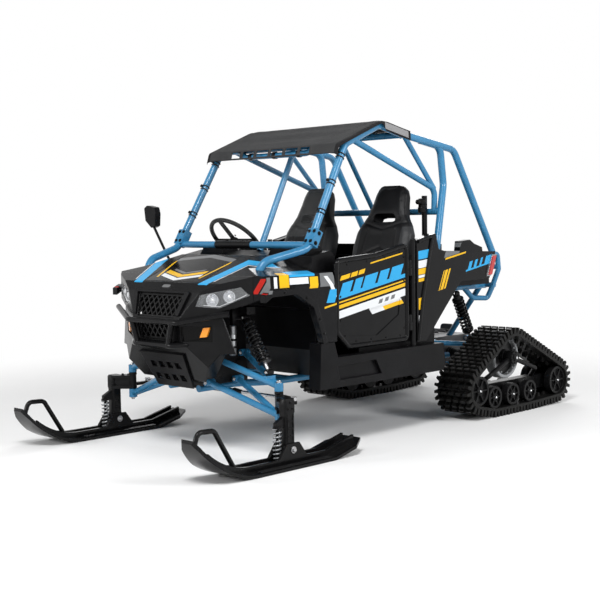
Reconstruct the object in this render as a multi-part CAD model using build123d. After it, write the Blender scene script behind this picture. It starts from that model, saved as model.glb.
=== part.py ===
import os
from math import cos, hypot, radians, sin, sqrt

from build123d import *

# Tracked utility terrain vehicle, millimetres: X forward, Y to the vehicle's left, Z up, ground at zero.

# Clearances
SEAT_GAP = 0.3
MOVE_GAP = 6

# Skis and steering
KINGPIN_X = 950
KINGPIN_Y = 620
LEG_AHEAD = 55
LEG_OUTBOARD = 110
LEG_LENGTH = 70
LEG_WIDTH = 60
LEG_BOTTOM_Z = 48
LEG_TOP_Z = 345
SKI_WIDTH = 230
SKI_PLATE = 16
SKI_TAIL_X = 510
SKI_TAIL_Z = 62
SKI_FLAT_REAR_X = 760
SKI_TIP_RADIUS = 436
SKI_TIP_X = 1672
SKI_CURL = 372
SKI_RIB_HEIGHT = 46
SKI_RIB_THICK = 16
LOOP_DIAMETER = 26
LOOP_TOP_Z = 250
SKI_SPRING_RADIUS = 24
KNUCKLE_LOW_Z = 265
KNUCKLE_HIGH_Z = 364
KNUCKLE_LUG_RADIUS = 24
STEER_ARM = 110
STEER_ARM_Z = 282
STEER_ARM_THICK = 18
TIE_ROD_DIAMETER = 16
ROD_END_RADIUS = 16
ROD_END_HIGH = 20
RACK_RADIUS = 14
RACK_HALF = 150

# Front suspension
BULKHEAD_HALF = 178
PIVOT_RADIUS = 18
PIVOT_LENGTH = 60
ARM_DIAMETER = 34
LOWER_BALL_Z = 235
LOWER_INNER_Z = 385
LOWER_FRONT_X = 1057
LOWER_REAR_X = 850
UPPER_BALL_Z = 388
UPPER_INNER_Z = 525
UPPER_FRONT_X = 1040
UPPER_REAR_X = 800
FRONT_SHOCK_TOP_Y = 365
FRONT_SHOCK_TOP_Z = 735
FRONT_SHOCK_LOW_Y = 540
SHOCK_BODY_RADIUS = 22
SHOCK_COIL_RADIUS = 38
SHOCK_EYE_RADIUS = 18
SHOCK_COILS = 7

# Rear suspension and tracks
HUB_X = -1050
HUB_Z = 356
TRACK_Y = 600
TRACK_WIDTH = 260
BELT_THICK = 16
LUG_HEIGHT = 38
LUG_COUNT = 36
LUG_ROOT = 34
LUG_TIP = 20
SPROCKET_RADIUS = 138
IDLER_RADIUS = 92
ROLLER_RADIUS = 70
FRONT_IDLER_X = -685
FRONT_IDLER_Z = 181
REAR_IDLER_X = -1556
REAR_IDLER_Z = 158
ROLLER_FIRST_X = -847
ROLLER_STEP = 193
WHEEL_WIDTH = 44
WHEEL_INSET = 14
WHEEL_TYRE = 16
WHEEL_HUB = 26
WHEEL_RIB = 8
WHEEL_RIBS = 6
DISH_DEEP = 16
AXLE_RADIUS = 14
REAR_PIVOT_Y = 196
REAR_ARM_Y = 405
REAR_ARM_HALF = 200
REAR_LOW_Z = 290
REAR_HIGH_Z = 425
UPRIGHT_THICK = 40
HITCH_REACH = 80
HITCH_HALF = 35
HITCH_Z = 300
HITCH_THICK = 14
HITCH_HOLE = 8

# Frame and cabin
RAIL_DIAMETER = 40
RAIL_Y = 235
RAIL_Z = 345
TOP_RAIL_Y = 430
TOP_RAIL_Z = 805
FLOOR_THICK = 18
CABIN_FRONT_X = 600
CABIN_REAR_X = -440
CABIN_HALF = 555
ROCKER_OUT = 640
ROCKER_TOP_Z = 500
ROCKER_LOW_Z = 335
ROCKER_TOE_Z = 585
DASH_REAR_X = 400
DASH_TOP_Z = 1052

# Cage
CAGE_DIAMETER = 44
CAGE_BEND = 90
PILLAR_FOOT_Z = 1095
CROSS_DIAMETER = 40

# Body shell
SHELL = 18
BODY_HALF = 625
HOOD_HALF = 235
HOOD_FRONT_X = 1140
HOOD_REAR_X = 830
HOOD_HINGE_RADIUS = 10

# Doors
DOOR_Y = 600
DOOR_TUBE = 30
DOOR_PANEL = 10
DOOR_FRONT_X = 480
DOOR_REAR_X = -120
DOOR_TOP_FRONT_Z = 1022
DOOR_TOP_REAR_Z = 1095
DOOR_LOW_Z = 545
HINGE_X = -150
HINGE_RADIUS = 14
HINGE_PIN = 7

# Bed
BED_FRONT_X = -500
BED_REAR_X = -1010
BED_HALF = 555
BED_FLOOR = 14
BED_FRONT_TOP_Z = 1090
QUARTER_THICK = 50
BED_TOP_Z = 1028
BED_WALL = 18
TOP_RAIL_END_X = -1140

# Seats and wheel
SEAT_Y = 310
SEAT_LEAN = 19
CUSHION_TOP_Z = 800
WHEEL_X = 385
WHEEL_Z = 1134
WHEEL_RADIUS = 172
WHEEL_RIM = 26
COLUMN_ANGLE = 45


def bar(start, end, diameter):
    start, end = Vector(*start), Vector(*end)
    axis = end - start
    return Plane(origin=start, z_dir=axis) * Cylinder(
        diameter / 2, axis.length, align=(Align.CENTER, Align.CENTER, Align.MIN)
    )


def bent(points, diameter, bend, close=False):
    path = FilletPolyline(*points, radius=bend, close=close)
    return sweep(Plane(origin=path @ 0, z_dir=path % 0) * Circle(diameter / 2), path=path)


def side_slab(outline, y_low, y_high):
    face = Plane.XZ * make_face(Polyline(*outline, close=True))
    return Pos(0, y_high, 0) * extrude(face, amount=y_high - y_low)


def plan_slab(outline, z_low, z_high):
    return Pos(0, 0, z_low) * extrude(make_face(Polyline(*outline, close=True)), amount=z_high - z_low)


def front_slab(outline, x_low, x_high):
    face = Plane.YZ * make_face(Polyline(*outline, close=True))
    return Pos(x_low, 0, 0) * extrude(face, amount=x_high - x_low)


def block(x_low, x_high, y_low, y_high, z_low, z_high):
    centre = ((x_low + x_high) / 2, (y_low + y_high) / 2, (z_low + z_high) / 2)
    return Pos(*centre) * Box(x_high - x_low, y_high - y_low, z_high - z_low)


def post(x, y, z_low, z_high, radius):
    return bar((x, y, z_low), (x, y, z_high), 2 * radius)


def cross(x, z, y_low, y_high, radius):
    return bar((x, y_low, z), (x, y_high, z), 2 * radius)


def along(x_low, x_high, y, z, radius):
    return bar((x_low, y, z), (x_high, y, z), 2 * radius)


def flip(shape):
    return mirror(shape, about=Plane.XZ)


def both(shape):
    return shape.solids() + flip(shape).solids()


def half_to_full(points):
    return points + [(x, -y) for x, y in reversed(points)]


def mirrored_outline(points):
    return points + [(-y, z) for y, z in reversed(points)]


nodes = {}

# Front body shell: one faceted form, opened for wheels, hood, lamps and grille.
KEEL = (1115, 352)
CHIN = (1245, 600)
NOSE = (1262, 735)
BROW = (1205, 880)
HOOD_LIP = (1150, 925)
BODY_TOP_Z = 1075
BODY_REAR_X = CABIN_FRONT_X + 12
BODY_REACH = 2 * BODY_HALF
FENDER_FRONT_X = 1060
SIDE_LINE = [
    KEEL, CHIN, NOSE, BROW, HOOD_LIP, (HOOD_REAR_X, BODY_TOP_Z - 13), (BODY_REAR_X, BODY_TOP_Z - 23),
    (BODY_REAR_X, KEEL[1] - 14),
]
PLAN_LINE = [(NOSE[0], 190), (1190, 330), (1085, BODY_HALF - 95), (1000, BODY_HALF), (BODY_REAR_X, BODY_HALF)]
FRONT_LINE = [
    (250, BODY_TOP_Z), (BODY_HALF - 195, 1000), (BODY_HALF - 30, 962), (BODY_HALF, 900), (BODY_HALF, 560),
    (BODY_HALF - 225, 560), (215, KEEL[1] - 7),
]
ARCH_LINE = [
    (560, 300), (650, 640), (705, 785), (830, 862), (1010, 856), (1150, 780), (1120, 600), (1060, 300),
]


def shrunk(outline, inset):
    return offset(make_face(Polyline(*outline, close=True)), amount=-inset, kind=Kind.INTERSECTION)


def front_form(inset):
    side = shrunk(SIDE_LINE, inset)
    plan = shrunk(half_to_full(PLAN_LINE), inset)
    face = shrunk(mirrored_outline(FRONT_LINE), inset)
    by_side = Pos(0, BODY_REACH, 0) * extrude(Plane.XZ * side, amount=2 * BODY_REACH)
    by_plan = extrude(plan, amount=BODY_TOP_Z)
    by_face = extrude(Plane.YZ * face, amount=2 * NOSE[0])
    return by_side & by_plan & by_face


front_outer = front_form(0)
front_inner = front_form(SHELL)
rear_zone = block(BODY_REAR_X - 72, BODY_REAR_X + 88, -BODY_REACH, BODY_REACH, 0, BODY_TOP_Z)
open_rear = Pos(-60, 0, 0) * front_inner & rear_zone
open_floor = block(BODY_REAR_X - 52, KEEL[0] + 25, 125 - BODY_HALF, BODY_HALF - 125, 0, KEEL[1] + 68)
well = side_slab(ARCH_LINE, 190, BODY_REACH)
front_shell = front_outer - front_inner - open_rear - open_floor - well - flip(well)

hood_low_z = HOOD_LIP[1] - 125
hood_region = block(HOOD_REAR_X, HOOD_FRONT_X, -HOOD_HALF, HOOD_HALF, hood_low_z, BODY_TOP_Z)
hood_hole = block(
    HOOD_REAR_X - MOVE_GAP, HOOD_FRONT_X + MOVE_GAP, -HOOD_HALF - MOVE_GAP, HOOD_HALF + MOVE_GAP,
    hood_low_z, BODY_TOP_Z,
)
LAMP_LINE = [
    (BODY_HALF - 345, 806), (BODY_HALF - 322, 866), (BODY_HALF - 120, 908), (BODY_HALF - 80, 866),
    (BODY_HALF - 225, 798),
]
lamp_zone = front_slab(LAMP_LINE, KINGPIN_X - 50, NOSE[0])
LAMP_DEEP = 45
headlamp = (front_outer - front_form(LAMP_DEEP)) & lamp_zone
GRILLE_LINE = [(158, 744), (190, 868)]
grille_zone = front_slab(mirrored_outline(GRILLE_LINE), HOOD_LIP[0], NOSE[0])
LOWER_GRILLE_LINE = [(132, 622), (146, 712)]
lower_zone = front_slab(mirrored_outline(LOWER_GRILLE_LINE), HOOD_LIP[0], 2 * NOSE[0])
CHEEK_DEEP = 11
CHEEK_LINE = [(196, 618), (340, 640), (366, 706), (206, 700)]
cheek = front_outer - front_form(CHEEK_DEEP) & front_slab(CHEEK_LINE, FENDER_FRONT_X, 2 * NOSE[0])
front_body = front_shell - hood_hole - lamp_zone - flip(lamp_zone) - grille_zone - lower_zone
front_body = front_body - cheek - flip(cheek)

HOOD_PIN = 5
hinge_x = HOOD_FRONT_X - HOOD_HINGE_RADIUS
hinge_z = HOOD_LIP[1] - HOOD_HINGE_RADIUS + 4
hood_skin = (front_outer - front_inner) & hood_region
hood_barrel = cross(hinge_x, hinge_z, -HOOD_HALF, HOOD_HALF, HOOD_HINGE_RADIUS)
pin_hole = cross(hinge_x, hinge_z, HOOD_HALF - 30, HOOD_HALF + 10, HOOD_PIN + SEAT_GAP)
nodes["hood"] = hood_skin + hood_barrel - pin_hole - flip(pin_hole)
hinge_pin = cross(hinge_x, hinge_z, HOOD_HALF - 24, HOOD_HALF + 40, HOOD_PIN)
fascia_cut = block(FENDER_FRONT_X, 2 * NOSE[0], -BODY_REACH, BODY_REACH, 0, BODY_TOP_Z)
front_body = front_body + hinge_pin + flip(hinge_pin)
nodes["front_fascia"] = front_body & fascia_cut
fender_low_z = ROCKER_TOE_Z + SEAT_GAP
fender_cut = block(0, FENDER_FRONT_X - SEAT_GAP, HOOD_HALF, BODY_REACH, fender_low_z, BODY_TOP_Z)
FLARE_BAND = 34
FLARE_OUT = 22
FLARE_WIDE = 40
arch = make_face(Polyline(*ARCH_LINE, close=True))
flare_ring = offset(arch, amount=FLARE_BAND, kind=Kind.INTERSECTION) - arch
flare = Pos(0, BODY_HALF + FLARE_OUT, 0) * extrude(Plane.XZ * flare_ring, amount=FLARE_WIDE)
flare = flare & block(BODY_REAR_X - 12, FENDER_FRONT_X - SEAT_GAP, 0, BODY_REACH, fender_low_z, BODY_TOP_Z)
section = shrunk(mirrored_outline(FRONT_LINE), 0) - shrunk(mirrored_outline(FRONT_LINE), SHELL)
jamb_x = DOOR_FRONT_X + DOOR_TUBE / 2 + MOVE_GAP + 3
jamb = Pos(jamb_x, 0, 0) * extrude(Plane.YZ * section, amount=BODY_REAR_X + 5 - jamb_x)
jamb = jamb & block(0, BODY_REACH, CABIN_HALF + SEAT_GAP, BODY_REACH, fender_low_z, BODY_TOP_Z)
fender = (front_body & fender_cut) + (flare - front_inner) + jamb
nodes["front_fenders"] = both(fender)
cowl_half = HOOD_HALF - SEAT_GAP
nodes["cowl"] = front_body & block(0, HOOD_REAR_X, -cowl_half, cowl_half, 0, BODY_TOP_Z)
nodes["headlamps"] = both(headlamp)

# Grille lattice, set back from the nose face
GRILLE_BAR = 8
GRILLE_RIM = 12
GRILLE_PITCH = 42
GRILLE_TILT = 52
GRILLE_INSET = 6
GRILLE_THICK = 8


def mesh_panel(low, high, outline):
    low, high = Vector(low[0], 0, low[1]), Vector(high[0], 0, high[1])
    up = (high - low).normalized()
    outward = Vector(up.Z, 0, -up.X)
    half = max(y for y, z in outline)
    tall = (outline[1][1] - outline[0][1]) / up.Z
    centre_z = (outline[0][1] + outline[1][1]) / 2
    centre = low + up * ((centre_z - low.Z) / up.Z)
    lattice = Rectangle(2 * half, tall) - Rectangle(2 * half - 2 * GRILLE_RIM, tall - 2 * GRILLE_RIM)
    reach = int(half / GRILLE_PITCH) + 2
    for step in range(-reach, reach + 1):
        for tilt in (-GRILLE_TILT, GRILLE_TILT):
            strip = Pos(step * GRILLE_PITCH, 0) * Rot(0, 0, tilt) * Rectangle(4 * tall, GRILLE_BAR)
            lattice += strip & Rectangle(2 * half - GRILLE_RIM, tall - GRILLE_RIM)
    plane = Plane(origin=centre - outward * GRILLE_INSET, x_dir=(0, 1, 0), z_dir=outward)
    return extrude(plane * lattice, amount=-GRILLE_THICK)


upper_mesh = mesh_panel(NOSE, BROW, GRILLE_LINE) & grille_zone
lower_mesh = mesh_panel(CHIN, NOSE, LOWER_GRILLE_LINE) & lower_zone
nodes["grille"] = []
for mesh in (upper_mesh, lower_mesh):
    nodes["grille"] += (mesh - nodes["front_fascia"]).solids()

# Bumper, bash plate and marker lamps
GUARD_DIAMETER = 32
GUARD_TOP = [(1150, 470, 772), (1288, 200, 722), (1288, -200, 722), (1150, -470, 772)]
GUARD_LOW = [(1180, 290, 610), (1281, 155, 597), (1281, -155, 597), (1180, -290, 610)]
guard = bent(GUARD_TOP, GUARD_DIAMETER, 60) + bent(GUARD_LOW, GUARD_DIAMETER, 60)
for side in (-1, 1):
    guard += bar((1288, side * 170, 722), (1281, side * 130, 597), GUARD_DIAMETER)
nodes["front_bumper"] = guard - front_outer
bash_low = Vector(KEEL[0], 0, KEEL[1])
bash_high = Vector(CHIN[0], 0, CHIN[1])
bash_up = (bash_high - bash_low).normalized()
bash_out = Vector(bash_up.Z, 0, -bash_up.X)
bash_plane = Plane(origin=bash_low + bash_out * SEAT_GAP, x_dir=(0, 1, 0), z_dir=bash_out)
BASH_HIGH = 225
BASH_THICK = 12
bash = Polyline((-150, 8), (150, 8), (185, BASH_HIGH), (-185, BASH_HIGH), close=True)
bash = make_face(bash)
for row in (70, 150):
    for column in (-1.5, -0.5, 0.5, 1.5):
        bash -= Pos(column * 68, row) * Rectangle(44, 40)
nodes["bash_plate"] = extrude(bash_plane * bash, amount=BASH_THICK)
MARKER_LINE = [(296, 644), (330, 648), (346, 698), (314, 695)]
marker_zone = front_slab(MARKER_LINE, FENDER_FRONT_X, 2 * NOSE[0])
marker = (front_form(2) - front_form(CHEEK_DEEP - SEAT_GAP)) & marker_zone
nodes["marker_lamps"] = both(marker)

# Front bulkhead with shock towers
bulkhead_z = RAIL_Z + RAIL_DIAMETER / 2 + SEAT_GAP
BULKHEAD_LINE = [(1085, bulkhead_z), (1135, 560), (1120, 690), (960, 760), (780, 760), (760, bulkhead_z)]
TOWER_LOW_Z = FRONT_SHOCK_TOP_Z + SHOCK_EYE_RADIUS + SEAT_GAP
bulkhead = side_slab(BULKHEAD_LINE, -BULKHEAD_HALF, BULKHEAD_HALF)
TOWER_HIGH = 40
tower_half = FRONT_SHOCK_TOP_Y + 45
bulkhead += block(
    KINGPIN_X - 38, KINGPIN_X + 22, -tower_half, tower_half, TOWER_LOW_Z, TOWER_LOW_Z + TOWER_HIGH
)
nodes["front_bulkhead"] = bulkhead

# Front arms
pivot_y = BULKHEAD_HALF + PIVOT_RADIUS + SEAT_GAP


def front_arm(ball_z, inner_z, front_x, rear_x, eye_low, eye_high):
    ball = (KINGPIN_X, KINGPIN_Y, ball_z)
    arm = post(KINGPIN_X, KINGPIN_Y, eye_low, eye_high, KNUCKLE_LUG_RADIUS)
    for inner_x in (front_x, rear_x):
        arm += bar(ball, (inner_x, pivot_y, inner_z), ARM_DIAMETER)
        arm += along(inner_x - PIVOT_LENGTH / 2, inner_x + PIVOT_LENGTH / 2, pivot_y, inner_z, PIVOT_RADIUS)
    return arm - block(600, 1300, -BULKHEAD_HALF - SEAT_GAP, BULKHEAD_HALF + SEAT_GAP, 300, 800)


lower_arm = front_arm(
    LOWER_BALL_Z, LOWER_INNER_Z, LOWER_FRONT_X, LOWER_REAR_X, LOWER_BALL_Z - 20, KNUCKLE_LOW_Z - SEAT_GAP
)
upper_arm = front_arm(
    UPPER_BALL_Z, UPPER_INNER_Z, UPPER_FRONT_X, UPPER_REAR_X, KNUCKLE_HIGH_Z + SEAT_GAP, UPPER_BALL_Z + 20
)
share = (KINGPIN_Y - FRONT_SHOCK_LOW_Y) / (KINGPIN_Y - pivot_y)
shock_seat_z = UPPER_BALL_Z + share * (UPPER_INNER_Z - UPPER_BALL_Z)
front_shock_low_z = shock_seat_z + 42
upper_arm += block(
    KINGPIN_X - 40, KINGPIN_X + 24, FRONT_SHOCK_LOW_Y - 16, FRONT_SHOCK_LOW_Y + 16,
    shock_seat_z - 8, front_shock_low_z - SHOCK_EYE_RADIUS - SEAT_GAP,
)
nodes["front_arms"] = both(lower_arm) + both(upper_arm)


def coil_shock(low, high, coils):
    low, high = Vector(*low), Vector(*high)
    length = (high - low).length
    spring_low = 0.26 * length
    spring_high = 0.84 * length
    pitch = (spring_high - spring_low) / coils
    profile = [(0, 10), (SHOCK_BODY_RADIUS - 6, 10), (SHOCK_BODY_RADIUS - 6, spring_low - 8)]
    profile.append((SHOCK_COIL_RADIUS, spring_low - 8))
    profile.append((SHOCK_COIL_RADIUS, spring_low))
    for coil in range(coils):
        profile.append((SHOCK_BODY_RADIUS, spring_low + (coil + 0.1) * pitch))
        profile.append((SHOCK_COIL_RADIUS - 2, spring_low + (coil + 0.45) * pitch))
        profile.append((SHOCK_COIL_RADIUS - 2, spring_low + (coil + 0.65) * pitch))
    profile.append((SHOCK_BODY_RADIUS, spring_high))
    profile.append((SHOCK_COIL_RADIUS, spring_high))
    profile.append((SHOCK_COIL_RADIUS, spring_high + 8))
    profile.append((SHOCK_BODY_RADIUS, spring_high + 8))
    profile.append((SHOCK_BODY_RADIUS, length - 10))
    profile.append((0, length - 10))
    body = revolve(Plane.XZ * make_face(Polyline(*profile, close=True)), Axis.Z)
    shock = Plane(origin=low, z_dir=high - low) * body
    for eye in (low, high):
        shock += along(eye.X - 22, eye.X + 22, eye.Y, eye.Z, SHOCK_EYE_RADIUS)
    return shock


FRONT_SHOCK_X = KINGPIN_X - 8
front_shock = coil_shock(
    (FRONT_SHOCK_X, FRONT_SHOCK_LOW_Y, front_shock_low_z),
    (FRONT_SHOCK_X, FRONT_SHOCK_TOP_Y, FRONT_SHOCK_TOP_Z), SHOCK_COILS,
)
RESERVOIR_RADIUS = 21
reservoir_x = KINGPIN_X + 58
reservoir_y = FRONT_SHOCK_TOP_Y - 32
tower_front_x = KINGPIN_X + 22
reservoir = post(reservoir_x, reservoir_y, FRONT_SHOCK_TOP_Z - 200, FRONT_SHOCK_TOP_Z - 38, RESERVOIR_RADIUS)
reservoir += block(
    tower_front_x + SEAT_GAP, reservoir_x + 8, reservoir_y - 12, reservoir_y + 12, FRONT_SHOCK_TOP_Z - 60,
    TOWER_LOW_Z + TOWER_HIGH - 5,
)
nodes["front_shocks"] = both(front_shock) + both(reservoir)

# Steering: rack housing, tie rods, column and wheel
rod_z = STEER_ARM_Z + STEER_ARM_THICK + SEAT_GAP + ROD_END_HIGH / 2
rack_x = KINGPIN_X - STEER_ARM
rack = cross(rack_x, rod_z, -RACK_HALF, RACK_HALF, RACK_RADIUS)
rack += block(rack_x - 30, rack_x + 30, -90, 90, rod_z, bulkhead_z)
rack -= cross(rack_x, rod_z, -RACK_HALF - 10, RACK_HALF + 10, TIE_ROD_DIAMETER / 2 + SEAT_GAP)
rods = cross(rack_x, rod_z, -KINGPIN_Y, KINGPIN_Y, TIE_ROD_DIAMETER / 2)
for side in (-1, 1):
    rods += post(rack_x, side * KINGPIN_Y, rod_z - ROD_END_HIGH / 2, rod_z + ROD_END_HIGH / 2, ROD_END_RADIUS)
nodes["tie_rods"] = rods
nodes["steering_rack"] = rack
column_dir = Vector(-cos(radians(COLUMN_ANGLE)), 0, sin(radians(COLUMN_ANGLE)))
wheel_centre = Vector(WHEEL_X, -SEAT_Y, WHEEL_Z)
wheel_plane = Plane(origin=wheel_centre, x_dir=(0, 1, 0), z_dir=column_dir)
wheel = Torus(WHEEL_RADIUS, WHEEL_RIM / 2) + Pos(0, 0, -22) * Cylinder(34, 36)
for angle in (0, 180, 270):
    wheel += Rot(0, 0, angle) * Pos(WHEEL_RADIUS / 2, 0, -8) * Box(WHEEL_RADIUS, 30, 10)
nodes["steering_wheel"] = wheel_plane * wheel
COLUMN_LENGTH = 170
column_top = wheel_centre - column_dir * (40 + MOVE_GAP)
column = bar(tuple(column_top), tuple(column_top - column_dir * COLUMN_LENGTH), 56)
shaft = bar(tuple(column_top + column_dir * 20), tuple(column_top - column_dir * 60), 24)

# Cabin tub: floor, toe board, seat riser and rear wall
floor_z = RAIL_Z + RAIL_DIAMETER / 2 + SEAT_GAP
TUB_LINE = [
    (CABIN_FRONT_X, 760), (CABIN_FRONT_X - FLOOR_THICK, 760), (CABIN_FRONT_X - FLOOR_THICK, 560),
    (430, floor_z + FLOOR_THICK), (250, floor_z + FLOOR_THICK), (250, 690), (-130, 660), (-140, 642),
    (-400, 642), (CABIN_REAR_X + FLOOR_THICK, 1020), (CABIN_REAR_X, 1020), (CABIN_REAR_X, floor_z),
    (420, floor_z), (CABIN_FRONT_X, 540),
]
tub = side_slab(TUB_LINE, -CABIN_HALF, CABIN_HALF)
tub_half = CABIN_HALF - FLOOR_THICK
RISER_LINE = [(232, floor_z + FLOOR_THICK), (232, 640), (-380, 620), (-420, floor_z + FLOOR_THICK)]
tub -= side_slab(RISER_LINE, -tub_half, tub_half)
nodes["cabin_tub"] = tub

# Dash block with column
DASH_LINE = [
    (CABIN_FRONT_X, 765), (CABIN_FRONT_X, DASH_TOP_Z), (470, DASH_TOP_Z + 25), (430, DASH_TOP_Z + 10),
    (DASH_REAR_X, 960), (440, 860), (520, 765),
]
dash_half = DOOR_Y - 65
dash = side_slab(DASH_LINE, -dash_half, dash_half)
POD_LINE = [
    (CABIN_FRONT_X - 10, DASH_TOP_Z - 12), (CABIN_FRONT_X - 10, DASH_TOP_Z + 2),
    (CABIN_FRONT_X - 40, DASH_TOP_Z + 44), (480, DASH_TOP_Z + 56), (445, DASH_TOP_Z + 16),
    (445, DASH_TOP_Z - 12),
]
PODS = [
    # centre y, half width
    (-SEAT_Y, 95),
    (SEAT_Y + 20, 150),
]
for pod_y, pod_half in PODS:
    dash += side_slab(POD_LINE, pod_y - pod_half, pod_y + pod_half)
nodes["dashboard"] = dash
nodes["steering_column"] = (column + shaft) - dash - nodes["steering_wheel"]

# Frame rails and cross tubes
NOSE_RAIL_Y = 120
RAIL_END_X = -990
rail = bent(
    [
        (1070, NOSE_RAIL_Y, RAIL_Z), (800, NOSE_RAIL_Y, RAIL_Z), (620, RAIL_Y, RAIL_Z),
        (RAIL_END_X, RAIL_Y, RAIL_Z),
    ],
    RAIL_DIAMETER, 120,
)
top_rail = along(TOP_RAIL_END_X, CABIN_REAR_X - SEAT_GAP, TOP_RAIL_Y, TOP_RAIL_Z, RAIL_DIAMETER / 2)
nodes["frame_rails"] = both(rail) + both(top_rail)
CROSS_TUBE = 36
tubes = []
for cross_x in (480, 0, -540, -740):
    tubes += (cross(cross_x, RAIL_Z, -RAIL_Y, RAIL_Y, CROSS_TUBE / 2) - rail - flip(rail)).solids()

# Engine block on the cross tubes, gearbox between the rear arms
ENGINE_HALF = 190
GEARBOX_LOW_Z = REAR_LOW_Z - 10
GEARBOX_HIGH_Z = REAR_HIGH_Z + 38
gearbox_front_x = HUB_X + REAR_ARM_HALF + 44
gearbox_rear_x = HUB_X - REAR_ARM_HALF - 44
engine_low_z = RAIL_Z + CROSS_TUBE / 2 + SEAT_GAP
nodes["engine_block"] = block(gearbox_front_x + SEAT_GAP, -500, -ENGINE_HALF, ENGINE_HALF, engine_low_z, 730)
gearbox_half = REAR_PIVOT_Y - SEAT_GAP
gearbox = block(gearbox_rear_x, gearbox_front_x, -gearbox_half, gearbox_half, GEARBOX_LOW_Z, GEARBOX_HIGH_Z)
hitch_x = gearbox_rear_x - HITCH_REACH
hitch = block(hitch_x, gearbox_rear_x, -HITCH_HALF, HITCH_HALF, HITCH_Z, HITCH_Z + HITCH_THICK)
hitch -= post(hitch_x + HITCH_HALF, 0, HITCH_Z - 1, HITCH_Z + HITCH_THICK + 1, HITCH_HOLE)
nodes["rear_gearbox"] = gearbox + hitch
riser = bar((-480, RAIL_Y, RAIL_Z), (-480, TOP_RAIL_Y, TOP_RAIL_Z), CROSS_TUBE) - rail - top_rail
tubes += both(riser)
rear_riser = bar((HUB_X - 40, 150, GEARBOX_HIGH_Z - 30), (HUB_X - 40, TOP_RAIL_Y, TOP_RAIL_Z), CROSS_TUBE)
tubes += both(rear_riser - gearbox - top_rail)
nodes["frame_tubes"] = tubes

# Rear arms, uprights, half shafts and shocks
def rear_arm(height):
    arm = None
    for end in (-1, 1):
        inner = (HUB_X + end * REAR_ARM_HALF, REAR_PIVOT_Y + PIVOT_RADIUS, height + 12)
        outer = (HUB_X + end * 34, REAR_ARM_Y, height)
        leg = bar(inner, outer, ARM_DIAMETER - 2)
        leg += along(inner[0] - 30, inner[0] + 30, inner[1], inner[2], PIVOT_RADIUS)
        arm = leg if arm is None else arm + leg
    return arm + along(HUB_X - 60, HUB_X + 60, REAR_ARM_Y, height, PIVOT_RADIUS + 2)


nodes["rear_arms"] = both(rear_arm(REAR_LOW_Z)) + both(rear_arm(REAR_HIGH_Z))
upright_y = REAR_ARM_Y + PIVOT_RADIUS + 2 + SEAT_GAP
upright = block(
    HUB_X - 50, HUB_X + 50, upright_y, upright_y + UPRIGHT_THICK, REAR_LOW_Z - 30, REAR_HIGH_Z + 30
)
upright -= cross(HUB_X, HUB_Z, upright_y - 10, upright_y + UPRIGHT_THICK + 10, 18 + SEAT_GAP)
nodes["rear_uprights"] = both(upright)
hub_inner_y = upright_y + UPRIGHT_THICK + SEAT_GAP
nodes["half_shafts"] = both(cross(HUB_X, HUB_Z, REAR_PIVOT_Y, hub_inner_y - SEAT_GAP, 18))
rear_shock_x = HUB_X + 36
rear_shock = coil_shock(
    (rear_shock_x, REAR_ARM_Y, REAR_HIGH_Z + PIVOT_RADIUS + 2 + SHOCK_EYE_RADIUS + SEAT_GAP),
    (rear_shock_x + 190, TOP_RAIL_Y, TOP_RAIL_Z - RAIL_DIAMETER / 2 - SHOCK_EYE_RADIUS - SEAT_GAP),
    SHOCK_COILS,
)
nodes["rear_shocks"] = both(rear_shock)

# Track loop: convex path over sprocket, idlers and rollers
roller_z = LUG_HEIGHT + BELT_THICK + ROLLER_RADIUS
ROLLER_COUNT = 3
roller_x = [ROLLER_FIRST_X - index * ROLLER_STEP for index in range(ROLLER_COUNT)]
WRAP = [
    (FRONT_IDLER_X, FRONT_IDLER_Z, IDLER_RADIUS),
    (HUB_X, HUB_Z, SPROCKET_RADIUS),
    (REAR_IDLER_X, REAR_IDLER_Z, IDLER_RADIUS),
    (roller_x[-1], roller_z, ROLLER_RADIUS),
    (roller_x[0], roller_z, ROLLER_RADIUS),
]


def belt_wire(grow):
    normals = []
    for index, (x, z, radius) in enumerate(WRAP):
        next_x, next_z, next_radius = WRAP[(index + 1) % len(WRAP)]
        reach = hypot(next_x - x, next_z - z)
        ahead = Vector((next_x - x) / reach, (next_z - z) / reach)
        lean = (radius - next_radius) / reach
        normals.append(Vector(ahead.Y, -ahead.X) * sqrt(1 - lean * lean) + ahead * lean)
    edges = []
    for index, (x, z, radius) in enumerate(WRAP):
        centre = Vector(x, z)
        enter, leave = normals[index - 1], normals[index]
        grown = radius + grow
        middle = (enter + leave).normalized()
        edges.append(ThreePointArc(centre + enter * grown, centre + middle * grown, centre + leave * grown))
        next_x, next_z, next_radius = WRAP[(index + 1) % len(WRAP)]
        edges.append(Line(centre + leave * grown, Vector(next_x, next_z) + leave * (next_radius + grow)))
    return Wire([edge.edge() for edge in edges])


belt_outer = belt_wire(BELT_THICK)
belt_face = make_face(belt_outer) - make_face(belt_wire(0))
belt = Pos(0, TRACK_Y + TRACK_WIDTH / 2, 0) * extrude(Plane.XZ * belt_face, amount=TRACK_WIDTH)
LUG_SINK = 5
LUG_COLUMNS = [
    # centre, width, phase
    (-88, 74, 0.0),
    (0, 82, 0.5),
    (88, 74, 0.0),
]
lugs = []
for centre, width, phase in LUG_COLUMNS:
    for index in range(LUG_COUNT):
        place = ((index + phase) / LUG_COUNT) % 1
        spot = belt_outer.position_at(place)
        run = belt_outer.tangent_at(place)
        outward = Vector(run.Y, -run.X)
        foot = spot - outward * LUG_SINK
        tip = spot + outward * LUG_HEIGHT
        root, crest = run * (LUG_ROOT / 2), run * (LUG_TIP / 2)
        outline = Polyline(foot - root, foot + root, tip + crest, tip - crest, close=True)
        face = Plane.XZ * make_face(outline)
        lugs.append(Pos(0, TRACK_Y + centre + width / 2, 0) * extrude(face, amount=width))
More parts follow.
